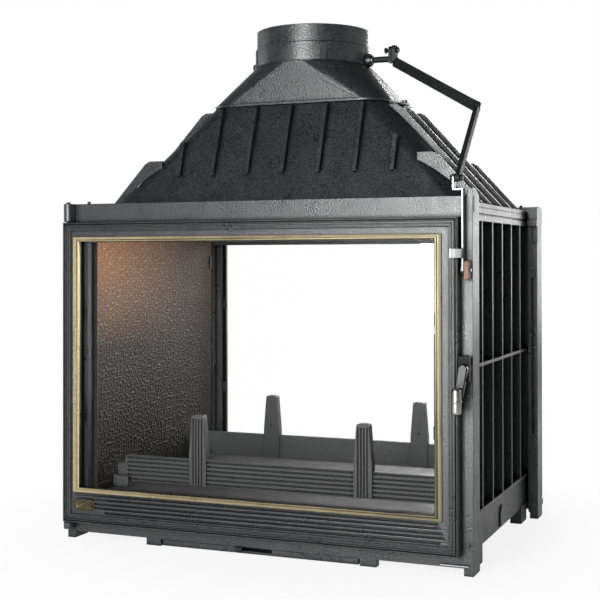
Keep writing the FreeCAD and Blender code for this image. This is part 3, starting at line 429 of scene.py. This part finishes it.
# Hood: four sloping castings that gather the smoke, with cooling fins and round corners.
# The side panels' charcoal paint in a darker copy, painted shade where the hood faces up into the dim
# surround; fins are poured with the plates.
# The castings meet along the middles of the round corners, each bolted down by its flange.
shaded_hood_paint = grained_finish("shaded_hood_paint", (0.003, 0.0044, 0.0047), (0.03, 0.034, 0.035), 0.31, speckle=330.0,
                            relief=0.00028, sheen=0.68)
for node in ("hood_front", "hood_rear", "hood_right", "hood_left"):
    casting(node, shaded_hood_paint, edge=0.001)


# Flue transition: one casting from the rectangular hood mouth to the round spigot for the flue pipe.
# Painted like the side panels; two bosses carry the damper shaft in steel bushes.
# A bolt in the lug on each side holds its flange to the hood.
casting("flue_transition", cast_paint, edge=0.0009)
casting("damper_bushes", zinc, edge=0.0005)


def hexagon_head(foot, along, apothem, height, washer=0.0):
    """Bolt head or nut on its washer: a hexagon with its corners turned off at the outer face."""
    wide = 1.3 * apothem
    rows = [(0, 0, 0), (0, wide, wide), (washer, wide, wide)] if washer else [(0, 0, 0)]
    corner = apothem / math.cos(math.pi / 6)
    rows += [(washer, apothem, corner), (washer + 0.8 * height, apothem, corner)]
    rows += [(washer + height, apothem, 0.96 * apothem), (washer + height, 0, 0)]
    return lathe(rows, foot, along, flats=6, steps=48)


low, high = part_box("transition_bolts")
bolt_reach = 0.006
bolt_apothem = 0.0051
flange_head = 0.0038
washer_thickness = 0.0015
heads = [hexagon_head((x, 0, low.z), (0, 0, 1), bolt_apothem, flange_head, washer_thickness)
         for x in (low.x + bolt_reach, high.x - bolt_reach)]
flange_bolts = shape("flange_bolts", heads)
dress(flange_bolts, zinc, "body", ["transition_bolts"])


# Damper: a butterfly plate on a shaft across the spigot, turned by a crank on its right end.
# Plain steel, blackened; the crank ear is welded to the shaft and two bolts hold the plate.
# The crank bolt carries a nut on its inner side.
black_steel = grained_finish("black_steel", (0.006, 0.007, 0.0066), (0.02, 0.022, 0.021), 0.42, speckle=500.0,
                             sheen=0.25)
for node in ("damper_shaft", "damper_plate"):
    casting(node, black_steel, edge=0.0006)
low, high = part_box("damper_plate_bolts")
heads = [hexagon_head((x, 0, low.z), (0, 0, 1), bolt_apothem, high.z - low.z)
         for x in (low.x + bolt_reach, high.x - bolt_reach)]
plate_bolts = shape("plate_bolts", heads)
dress(plate_bolts, zinc, "damper", ["damper_plate_bolts"])


def cross_bolt(node):
    """Bolt along X with a nut at its low end, a hexagon head at its high end and a round shank."""
    low, high = (np.array(corner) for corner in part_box(node))
    middle = (low + high) / 2
    head_height = 0.004
    shank = 0.0035
    nut_seat = (low[0] + head_height, middle[1], middle[2])
    head_seat = (high[0] - head_height, middle[1], middle[2])
    nut = hexagon_head(nut_seat, (-1, 0, 0), bolt_apothem, head_height)
    head = hexagon_head(head_seat, (1, 0, 0), bolt_apothem, head_height)
    return [nut, head, round_bar((low[0], *middle[1:]), head_seat, shank)]


crank_bolt = shape("crank_bolt_and_nut", cross_bolt("crank_bolt"))
dress(crank_bolt, black_steel, "damper", ["crank_bolt"])


# Strap, rocker and finger lever: the linkage that works the damper from the front.
# The strap is black bent strip, the rocker and its finger are zinc-plated strip.
# The rocker turns on a pin in a copper-brown block screwed to the latch pillar.
casting("damper_strap", black_steel, edge=0.0006)
casting("damper_rocker", zinc, edge=0.0005)
copper_block = grained_finish("copper_block", (0.12, 0.07, 0.05), (0.26, 0.16, 0.115), 0.6, metal=0.2,
                              speckle=300.0)
casting("rocker_bracket", copper_block, edge=0.0015)
casting("rocker_pivot", zinc, edge=0.0004)
link_bolt = shape("link_bolt_and_nut", cross_bolt("rocker_link_bolt"))
dress(link_bolt, black_steel, "rocker", ["rocker_link_bolt"])


# Door frames: iron castings with a moulded border, hung on two pins at the left.
# Charcoal paint; the border has two pairs of fine reeds round a shallow cove.
# Five grooves run along the lower rail, which is the deepest.
def moulded_height(inset):
    """Height of the border over the door's face: the highest of a shallow floor and four beads, each half an
    ellipse over its width."""
    height = cove_rise * smooth_step(cove_end - inset, 0, cove_blend)
    for middle, half_width, rise in beads:
        share = np.clip(1 - ((inset - middle) / half_width) ** 2, 0, 1)
        height = np.maximum(height, rise * np.sqrt(share))
    return height


def rectangle_rings(rows):
    """Rows of (left, right, bottom, top, depth), each one ring of four corners in the door's plane."""
    left, right, bottom, top, depth = np.array(rows, float).T
    corners = [(left, depth, bottom), (right, depth, bottom), (right, depth, top), (left, depth, top)]
    return np.stack([np.stack(corner, axis=-1) for corner in corners], axis=1)


def grown(rectangle, reach):
    """Rectangle of (left, right, bottom, top) with every side moved outwards."""
    return np.array(rectangle) + np.array((-reach, reach, -reach, reach))


low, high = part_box("front_door_frame")
door = (low.x, high.x, low.z, high.z)
reed_height = 0.005
door_face = low.y + reed_height
door_back = high.y
window = (-0.367, 0.332, 0.102, 0.57)
trim_return = 0.002
glass_lap = 0.006
rebate_floor = -0.283
seal_floor = -0.276
seal_width = 0.008
low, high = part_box("front_door_seal")
seal = (low.x, high.x, low.z, high.z)
beads = ((0.0019, 0.0019, 0.005), (0.0058, 0.0017, 0.0046),
         (0.0112, 0.0017, 0.0035), (0.0152, 0.0017, 0.003))
cove_rise = 0.0022
cove_end = 0.016
cove_blend = 0.002
border_width = 0.017
border_foot = 0.0178
border = np.append(np.linspace(0, border_width, 86), border_foot)
groove_count = 5
groove_pitch = 0.008
groove_first = door[2] + 0.022
groove_half_width = 0.0017
groove_depth = 0.0034
groove_soft = 0.0007
groove_ends = (door[0] + 0.092, door[1] - 0.034)
end_reach = 0.004


def grooved_rail(outer, inner):
    """Face of the lower rail between the lower sides of two rings, with round-ended grooves sunk in it."""
    middle = np.linspace(groove_ends[0] + end_reach, groove_ends[1] - end_reach, 40)
    ends = [np.linspace(end - end_reach, end + end_reach, 17) for end in groove_ends]
    stations = np.unique(np.concatenate([ends[0], middle, ends[1]]))
    share = (stations - outer[0, 0]) / (outer[1, 0] - outer[0, 0])
    share = np.concatenate([[0], share, [1]])[:, None]
    start = outer[0] + share * (outer[1] - outer[0])
    end = inner[0] + share * (inner[1] - inner[0])
    rise = np.linspace(0, 1, 110)[:, None, None]
    grid = start + rise * (end - start)
    beyond = np.maximum(np.maximum(groove_ends[0] - grid[..., 0], grid[..., 0] - groove_ends[1]), 0)
    for k in range(groove_count):
        gap = np.hypot(beyond, grid[..., 2] - groove_first - k * groove_pitch)
        grid[..., 1] += groove_depth * smooth_step(groove_half_width - gap, -groove_soft, groove_soft)
    return patch(grid)


def door_frame_patches():
    """Rings round the section of the frame, less the face of the lower rail, which has a grid of its own."""
    rows = [(*door, door_back)]
    for inset, height in zip(border, moulded_height(border)):
        rows.append((*grown(door, -inset), door_face - height))
    flat_start = len(rows) - 1
    seat = grown(window, trim_return)
    rebate = grown(window, glass_lap)
    rows += [(*seat, door_face), (*seat, rebate_floor), (*rebate, rebate_floor), (*rebate, door_back)]
    inner_seal = grown(seal, -seal_width)
    rows += [(*inner_seal, door_back), (*inner_seal, seal_floor), (*seal, seal_floor), (*seal, door_back)]
    rings = rectangle_rings(rows)
    points, faces = patch(rings, across=True, along=True)
    lower_rail = 4 * flat_start
    faces = np.delete(faces, lower_rail, axis=0)
    return [(points, faces), grooved_rail(rings[flat_start], rings[flat_start + 1])]


for side_name, side in both_sides:
    door_frame = shape(side_name + "_door_moulding", door_frame_patches(), side)
    dress(door_frame, cast_paint, side_name + "_door", [side_name + "_door_frame"])
    casting(side_name + "_hinge_pins", black_steel, edge=0.0006)


# Brass trim: a thin frame round the glass, laid on the door's face with a return into the window.
# Rolled from polished brass strip and mitred at the corners.
# A bead runs along its inner edge.
def brass_finish():
    """Brass, bright by the hinge and darker towards the latch as painted shade; dark where it turns into the
    window, partly soot and partly painted shade.
    """
    material = grained_finish("polished_brass", (0.44, 0.36, 0.2), (0.54, 0.46, 0.29), 0.3, metal=1.0,
                              speckle=220.0, mottle=14.0, relief=0.000002)
    tree = material.node_tree
    colour = tree.nodes["Principled BSDF"].inputs["Base Color"]
    bright = colour.links[0].from_socket
    axes = object_axes(tree)
    # Painted shade: the brass darkens towards the latch side.
    sideways = reckon(tree, "MULTIPLY", axes["X"], axes["Y"])
    latch_side_shade = ranged(tree, sideways, From_Min=0.105, From_Max=-0.085)
    shaded_brass = blend(tree, latch_side_shade, bright, (0.1, 0.09, 0.058, 1.0))
    # Partly soot, partly painted shade where the trim turns into the window.
    reach = abs(door_face)
    depth = reckon(tree, "ABSOLUTE", axes["Y"])
    shade_and_soot = ranged(tree, depth, From_Min=reach - 0.001, From_Max=reach - 0.004)
    feed(tree, colour, blend(tree, shade_and_soot, shaded_brass, (0.012, 0.01, 0.007, 1.0)))
    return material


brass = brass_finish()
low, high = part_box("front_brass_trim")
trim = np.array((low.x, high.x, low.z, high.z))
trim_face = 0.0025
trim_back = high.y


def trim_patches():
    """Rings from the outer edge over a flat and a round bead to the return inside the window."""
    share = np.array([0.0, 0.02, 0.06, 0.3, 0.5, 0.56, 0.62, 0.7, 0.78, 0.86, 0.94, 0.98, 1.0])
    rise = np.array([0.0, 0.6, 0.75, 0.6, 0.5, 0.55, 0.8, 0.95, 1.0, 0.95, 0.8, 0.55, 0.4])
    opening = np.array(window)
    returned = grown(window, trim_return)
    rows = []
    for part, height in zip(share, rise):
        rows.append((*(trim + part * (opening - trim)), door_face - trim_face * height))
    rows += [(*opening, trim_back), (*returned, trim_back), (*returned, door_face)]
    return [patch(rectangle_rings(rows), across=True, along=True)]


for side_name, side in both_sides:
    trim_piece = shape(side_name + "_trim_strip", trim_patches(), side, crease=28)
    dress(trim_piece, brass, side_name + "_door", [side_name + "_brass_trim"])


# Plain plate: a bare little shield on the lower rail by the hinge.
# Stamped from thin brass, left to tarnish, with a raised rim.
# Two round-headed rivets hold it to the door.
tarnished_brass = grained_finish("tarnished_brass", (0.05, 0.042, 0.025), (0.16, 0.135, 0.085), 0.4,
                                 metal=1.0, speckle=260.0, relief=0.0001)
plate_middle = (-0.354, 0.07)
plate_half = (0.021, 0.0105)
plate_rise = 0.0016
rivet_spacing = 0.026
rivet_radius = 0.0026


def plate_patches():
    """Rings of a rounded oblong, |x/a|^4 + |z/b|^4 = 1, from the face over a raised rim to a sunk middle;
    rivets are half balls."""
    turn = np.linspace(0, 2 * np.pi, 64, endpoint=False)
    outline = np.column_stack([np.sign(np.cos(turn)) * np.sqrt(abs(np.cos(turn))),
                               np.sign(np.sin(turn)) * np.sqrt(abs(np.sin(turn)))]) * plate_half
    share = np.array([0.0, 1.0, 1.0, 0.97, 0.9, 0.86, 0.0])
    rise = np.array([-0.2, -0.2, 0.6, 0.9, 0.9, 0.55, 0.6]) * plate_rise
    across = plate_middle[0] + share[:, None] * outline[:, 0]
    up = plate_middle[1] + share[:, None] * outline[:, 1]
    deep = np.broadcast_to((door_face - rise)[:, None], across.shape)
    plate = patch(np.stack([across, deep, up], axis=-1), across=True)
    bow = np.linspace(0, np.pi / 2, 7)
    rows = [(0, 0, 0)] + [(0.7 * rivet_radius * math.sin(t), rivet_radius * math.cos(t), 1) for t in bow]
    seat = door_face - 0.5 * plate_rise
    places = [plate_middle[0] + step * rivet_spacing / 2 for step in (-1, 1)]
    rivets = [lathe(rows, (x, seat, plate_middle[1]), (0, -1, 0), steps=20) for x in places]
    return [plate, *rivets]


for side_name, side in both_sides:
    plain_plate = shape(side_name + "_plain_plate", plate_patches(), side)
    dress(plain_plate, tarnished_brass, side_name + "_door", [])


# Liner clips: a small block at the inner end of each liner that keeps the plate against its side panel.
# Plain steel strip with broken edges.
# A rivet from behind holds it to the plate.
clip_size = (0.003, 0.009, 0.027)
clip_chamfer = 0.0006
clip_height = 0.53
clip_seat = 0.0005
clip_setback = 0.002


def clip_patches():
    """Oblong rings along Y, drawn in by a chamfer at both ends and closed at the middle."""
    thick, wide, tall = clip_size
    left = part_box("left_liner")[1].x - clip_seat
    bottom = clip_height - tall / 2
    face = np.array((left, left + thick, bottom, bottom + tall))
    middle = np.array((left + thick / 2, left + thick / 2, clip_height, clip_height))
    start = liner_end - clip_setback - wide
    end = liner_end - clip_setback
    broken = grown(face, -clip_chamfer)
    rows = [(*middle, start), (*broken, start), (*face, start + clip_chamfer)]
    rows += [(*face, end - clip_chamfer), (*broken, end), (*middle, end)]
    return [patch(rectangle_rings(rows), across=True)]


for name, side in (("left_liner_clip", 1), ("right_liner_clip", -1)):
    dress(shape(name, clip_patches(), side), pan_sheet, "body", [])


# Door glass, its gasket, the clips and the rope seal at the back of each door.
# Clear ceramic glass lies in the rebate on a flat gasket; four black clips hold it.
# A graphite-coated rope is pressed into the groove that closes on the facade.
def mixed_shader(tree, share, first, second):
    """Two shaders mixed by a share."""
    mixed = add_node(tree, "ShaderNodeMixShader", Fac=share)
    feed(tree, mixed.inputs[1], first.outputs[0])
    feed(tree, mixed.inputs[2], second.outputs[0])
    return mixed.outputs[0]


def glass_finish():
    """Clear pane: glass to the eye and behind other glass, open to lamps and to light that has bounced."""
    material = bpy.data.materials.new("clear_pane")
    material.use_nodes = True
    tree = material.node_tree
    shader = tree.nodes["Principled BSDF"]
    shader.inputs["Base Color"].default_value = (1.0, 1.0, 1.0, 1.0)
    shader.inputs["Roughness"].default_value = 0.0
    shader.inputs["Transmission Weight"].default_value = 1.0
    shader.inputs["IOR"].default_value = 1.47
    shader.inputs["Specular Tint"].default_value = (0.02, 0.02, 0.02, 1.0)
    open_pane = tree.nodes.new("ShaderNodeBsdfTransparent")
    path = tree.nodes.new("ShaderNodeLightPath").outputs
    seen = reckon(tree, "MAXIMUM", path["Is Camera Ray"], path["Is Transmission Ray"])
    mixed = mixed_shader(tree, seen, open_pane, shader)
    feed(tree, tree.nodes["Material Output"].inputs["Surface"], mixed)
    return material


def loop_path(rectangle, corner, step):
    """Points and outward directions along a rectangle with round corners, about a step apart."""
    left, right, bottom, top = rectangle
    centres = ((right - corner, bottom + corner), (right - corner, top - corner),
               (left + corner, top - corner), (left + corner, bottom + corner))
    places = []
    outward = []
    for k in range(4):
        turn = np.linspace(-0.5 + 0.5 * k, 0.5 * k, 8) * np.pi
        rays = np.column_stack([np.cos(turn), np.sin(turn)])
        places.append(np.array(centres[k]) + corner * rays)
        outward.append(rays)
        there = np.array(centres[(k + 1) % 4]) + corner * rays[-1]
        count = int(np.linalg.norm(there - places[-1][-1]) / step)
        share = np.linspace(0, 1, count, endpoint=False)[1:, None]
        places.append(places[-1][-1] + share * (there - places[-1][-1]))
        outward.append(np.tile(rays[-1], (len(share), 1)))
    return np.vstack(places), np.vstack(outward)


rope_corner = 0.012
rope_step = 0.003
strand_count = 3
strand_depth = 0.09
strand_turn = 1.1


def rope_patch(rectangle, depth_low, depth_high, width):
    """Oval rope on a closed path; strands wind round it as a ripple of the section along the way."""
    places, outward = loop_path(rectangle, rope_corner, rope_step)
    angle = np.linspace(0, 2 * np.pi, 14, endpoint=False)
    way = np.arange(len(places))[:, None]
    strand = 1 - strand_depth * (0.5 + 0.5 * np.cos(strand_count * angle + strand_turn * way))
    across = 0.5 * width * strand * np.cos(angle)
    deep = 0.5 * (depth_high - depth_low) * strand * np.sin(angle)
    x = places[:, :1] + outward[:, :1] * across
    z = places[:, 1:] + outward[:, 1:] * across
    return patch(np.stack([x, (depth_low + depth_high) / 2 + deep, z], axis=-1), across=True, along=True)


clear_pane = glass_finish()
graphite_rope = grained_finish("graphite_rope", (0.03, 0.03, 0.03), (0.09, 0.09, 0.088), 0.8, speckle=900.0,
                               relief=0.0005)
seal_low, seal_high = (corner.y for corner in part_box("front_door_seal"))
for side_name, side in both_sides:
    pane = frame["nodes"][side_name + "_door_glass"]
    pane.data.materials.clear()
    pane.data.materials.append(clear_pane)
    strands = rope_patch(grown(seal, -seal_width / 2), seal_low, seal_high, seal_width)
    rope = shape(side_name + "_rope_seal", [strands], side, crease=60)
    dress(rope, graphite_rope, side_name + "_door", [side_name + "_door_seal"])
    casting(side_name + "_glass_seal", graphite_rope, edge=0.0003)
    casting(side_name + "_glass_clips", black_steel, edge=0.0005)


# Latch: a housing on the door's edge, a turning arm with a round grip, and the keeper on the pillar.
# Arm and housing are black enamelled castings, the grip is satin nickel, the keeper painted iron.
# The tongue behind the housing turns with the arm.
enamel = grained_finish("black_enamel", (0.003, 0.003, 0.0033), (0.008, 0.008, 0.0085), 0.16, speckle=400.0,
                        relief=0.00003, sheen=0.3)
housing_black = grained_finish("housing_black", (0.003, 0.003, 0.0033), (0.008, 0.008, 0.0085), 0.3,
                               speckle=400.0, relief=0.00003, sheen=0.07)
satin_nickel = grained_finish("satin_nickel", (0.3, 0.3, 0.3), (0.44, 0.44, 0.43), 0.3, metal=1.0,
                              speckle=500.0, relief=0.00005)
ring_rise = 0.001
ring_half = 0.0022
grip_dome = 0.004


def grip_patch(node):
    """Round grip: a straight barrel with domed ends and a raised ring at its waist."""
    low, high = (np.array(corner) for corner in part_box(node))
    middle = (low + high) / 2
    length = high[2] - low[2]
    barrel = (high[0] - low[0]) / 2 - ring_rise
    turn = np.linspace(0, np.pi / 2, 6)
    foot = [(grip_dome * (1 - math.cos(t)), barrel - grip_dome + grip_dome * math.sin(t)) for t in turn]
    bow = np.linspace(-1, 1, 9)
    waist = [(length / 2 + ring_half * s, barrel + ring_rise * math.sqrt(max(0, 1 - s * s))) for s in bow]
    top = [(length - way, radius) for way, radius in reversed(foot)]
    outline = [(0, 0), *foot, *waist, *top, (length, 0)]
    rows = [(way, radius, radius) for way, radius in outline]
    return lathe(rows, (*middle[:2], low[2]), (0, 0, 1), steps=40)


for side_name in ("front", "rear"):
    casting(side_name + "_latch_housing", housing_black, edge=0.0018, rounding=3)
    casting(side_name + "_handle_arm", enamel, edge=0.0024, rounding=4)
    casting(side_name + "_latch_tongue", black_steel, edge=0.0005)
    casting(side_name + "_keeper", cast_paint, edge=0.0007)
    grip = shape(side_name + "_round_grip", [grip_patch(side_name + "_handle_grip")])
    dress(grip, satin_nickel, side_name + "_handle", [side_name + "_handle_grip"])


# Air controls: a notched bar under each facade and the slide behind it with its knob.
# Painted iron bar and black steel slide; the knob is pushed sideways to let air in.
# The bar is screwed up under the facade's rail.
for side_name in ("front", "rear"):
    casting(side_name + "_air_bar", cast_paint, edge=0.0015)
    casting(side_name + "_air_slide", black_steel, edge=0.0008)


# Studio: a pale floor that fades into a white surround, soft lamps on all sides, and the camera.
# The surround is white to the eye; in gloss it is white behind the insert, dark in front and overhead.
# The floor keeps the insert's shadow, and a small lamp inside the firebox lights the left liner.
def floor_finish(fade_start, fade_end):
    """White floor: its own light to the eye, more of it further out, and a shadow-taking share."""
    material = bpy.data.materials.new("pale_floor")
    material.use_nodes = True
    tree = material.node_tree
    tree.nodes.clear()
    place = tree.nodes.new("ShaderNodeTexCoord")
    reach = tree.nodes.new("ShaderNodeVectorMath")
    reach.operation = "LENGTH"
    feed(tree, reach.inputs[0], place.outputs["Object"])
    fade = ranged(tree, reach.outputs["Value"], From_Min=fade_start, From_Max=fade_end, To_Min=0.86)
    path = tree.nodes.new("ShaderNodeLightPath").outputs
    seen = reckon(tree, "MAXIMUM", path["Is Camera Ray"], path["Is Transmission Ray"])
    mirrored = reckon(tree, "MULTIPLY_ADD", path["Is Glossy Ray"], 0.25, seen)
    share = reckon(tree, "MULTIPLY", fade, mirrored)
    shadowed = add_node(tree, "ShaderNodeBsdfDiffuse", Color=(0.9, 0.9, 0.9, 1.0))
    white = add_node(tree, "ShaderNodeEmission", Strength=1.0)
    mixed = mixed_shader(tree, share, shadowed, white)
    add_node(tree, "ShaderNodeOutputMaterial", Surface=mixed)
    return material


floor_reach = 14.0
floor_drop = 0.0004
spread = np.linspace(-floor_reach, floor_reach, 3)
floor_x, floor_y = np.meshgrid(spread, spread)
floor = shape("floor", [patch(np.stack([floor_x, floor_y, np.full_like(floor_x, -floor_drop)], axis=-1))])
floor.data.materials.append(floor_finish(fade_start=0.42, fade_end=0.75))


def paint_surround():
    """White to the eye and through glass; in gloss white behind the insert, dark in front and overhead."""
    world = bpy.data.worlds.new("surround")
    bpy.context.scene.world = world
    world.use_nodes = True
    tree = world.node_tree
    place = tree.nodes.new("ShaderNodeTexCoord")
    axes = add_node(tree, "ShaderNodeSeparateXYZ", Vector=place.outputs["Generated"]).outputs
    mirror = ranged(tree, axes["Y"], From_Min=-0.25, From_Max=0.45, To_Min=0.05, To_Max=0.5)
    ceiling = ranged(tree, axes["Z"], From_Min=0.2, From_Max=0.7, To_Min=1.0, To_Max=0.05)
    mirrored = reckon(tree, "MULTIPLY", mirror, ceiling)
    light = ranged(tree, axes["Z"], From_Min=-0.1, From_Max=0.8, To_Min=0.16, To_Max=0.06)
    path = tree.nodes.new("ShaderNodeLightPath").outputs
    unseen = add_node(tree, "ShaderNodeMix", Factor=path["Is Glossy Ray"], A=light, B=mirrored)
    seen = reckon(tree, "MAXIMUM", path["Is Camera Ray"], path["Is Transmission Ray"])
    strength = add_node(tree, "ShaderNodeMix", Factor=seen, A=unseen.outputs["Result"], B=1.0)
    backdrop = tree.nodes["Background"].inputs
    feed(tree, backdrop["Color"], (1.0, 1.0, 1.0, 1.0))
    feed(tree, backdrop["Strength"], strength.outputs["Result"])


paint_surround()


def soft_lamp(name, place, aim, width, height, power):
    """Rectangular soft box at a place, turned to a point."""
    data = bpy.data.lights.new(name, "AREA")
    data.shape = "RECTANGLE"
    data.size = width
    data.size_y = height
    data.energy = power
    lamp = bpy.data.objects.new(name, data)
    bpy.context.collection.objects.link(lamp)
    away = Vector(place) - Vector(aim)
    lamp.location = place
    lamp.rotation_mode = "QUATERNION"
    lamp.rotation_quaternion = away.to_track_quat("Z", "Y")
    return lamp


soft_lamp("key_lamp", (0.08, -2.4, 0.78), (0.15, 0.0, 0.5), 0.85, 1.35, 71)
soft_lamp("collar_lamp", (-0.45, -2.3, 1.52), (0.0, 0.0, 0.95), 0.9, 0.5, 3)
firebox_lamp = soft_lamp("firebox_lamp", (-0.02, -0.13, 0.588), (-0.36, -0.1, 0.5), 0.14, 0.05, 0.26)
firebox_lamp.visible_camera = False
soft_lamp("left_strip", (-1.75, -2.3, 0.5), (-0.38, -0.3, 0.4), 0.25, 1.2, 4)
soft_lamp("right_fill", (2.5, 0.3, 0.9), (0.3, 0.0, 0.5), 0.5, 1.2, 1.5)
soft_lamp("rear_key", (-0.08, 2.4, 0.9), (-0.15, 0.0, 0.55), 0.85, 1.35, 38)
soft_lamp("rear_right", (1.3, 2.3, 0.7), (0.0, 0.0, 0.45), 0.8, 0.8, 10)
soft_lamp("left_fill", (-2.5, 0.3, 0.8), (-0.3, 0.0, 0.4), 0.9, 0.9, 9)

azimuth, pitch, roll = (math.radians(degrees) for degrees in (22.19, 0.48, -0.1))
run = math.cos(pitch)
forward = np.array((-math.sin(azimuth) * run, math.cos(azimuth) * run, math.sin(pitch)))
level = np.array((math.cos(azimuth), math.sin(azimuth), 0.0))
upward = np.cross(level, forward)
rightward = level * math.cos(roll) + upward * math.sin(roll)
upward = upward * math.cos(roll) - level * math.sin(roll)
camera_data = bpy.data.cameras.new("camera")
camera_data.sensor_width = 36.0
camera_data.lens = 72.16
camera_data.shift_y = -0.0833
camera = bpy.data.objects.new("camera", camera_data)
bpy.context.collection.objects.link(camera)
turn = Matrix(np.column_stack([rightward, upward, -forward]).tolist()).to_4x4()
camera_place = (0.8902, -2.2578, 0.5343)
camera.matrix_world = Matrix.Translation(camera_place) @ turn
bpy.context.scene.camera = camera
bpy.context.scene.view_settings.view_transform = "Standard"
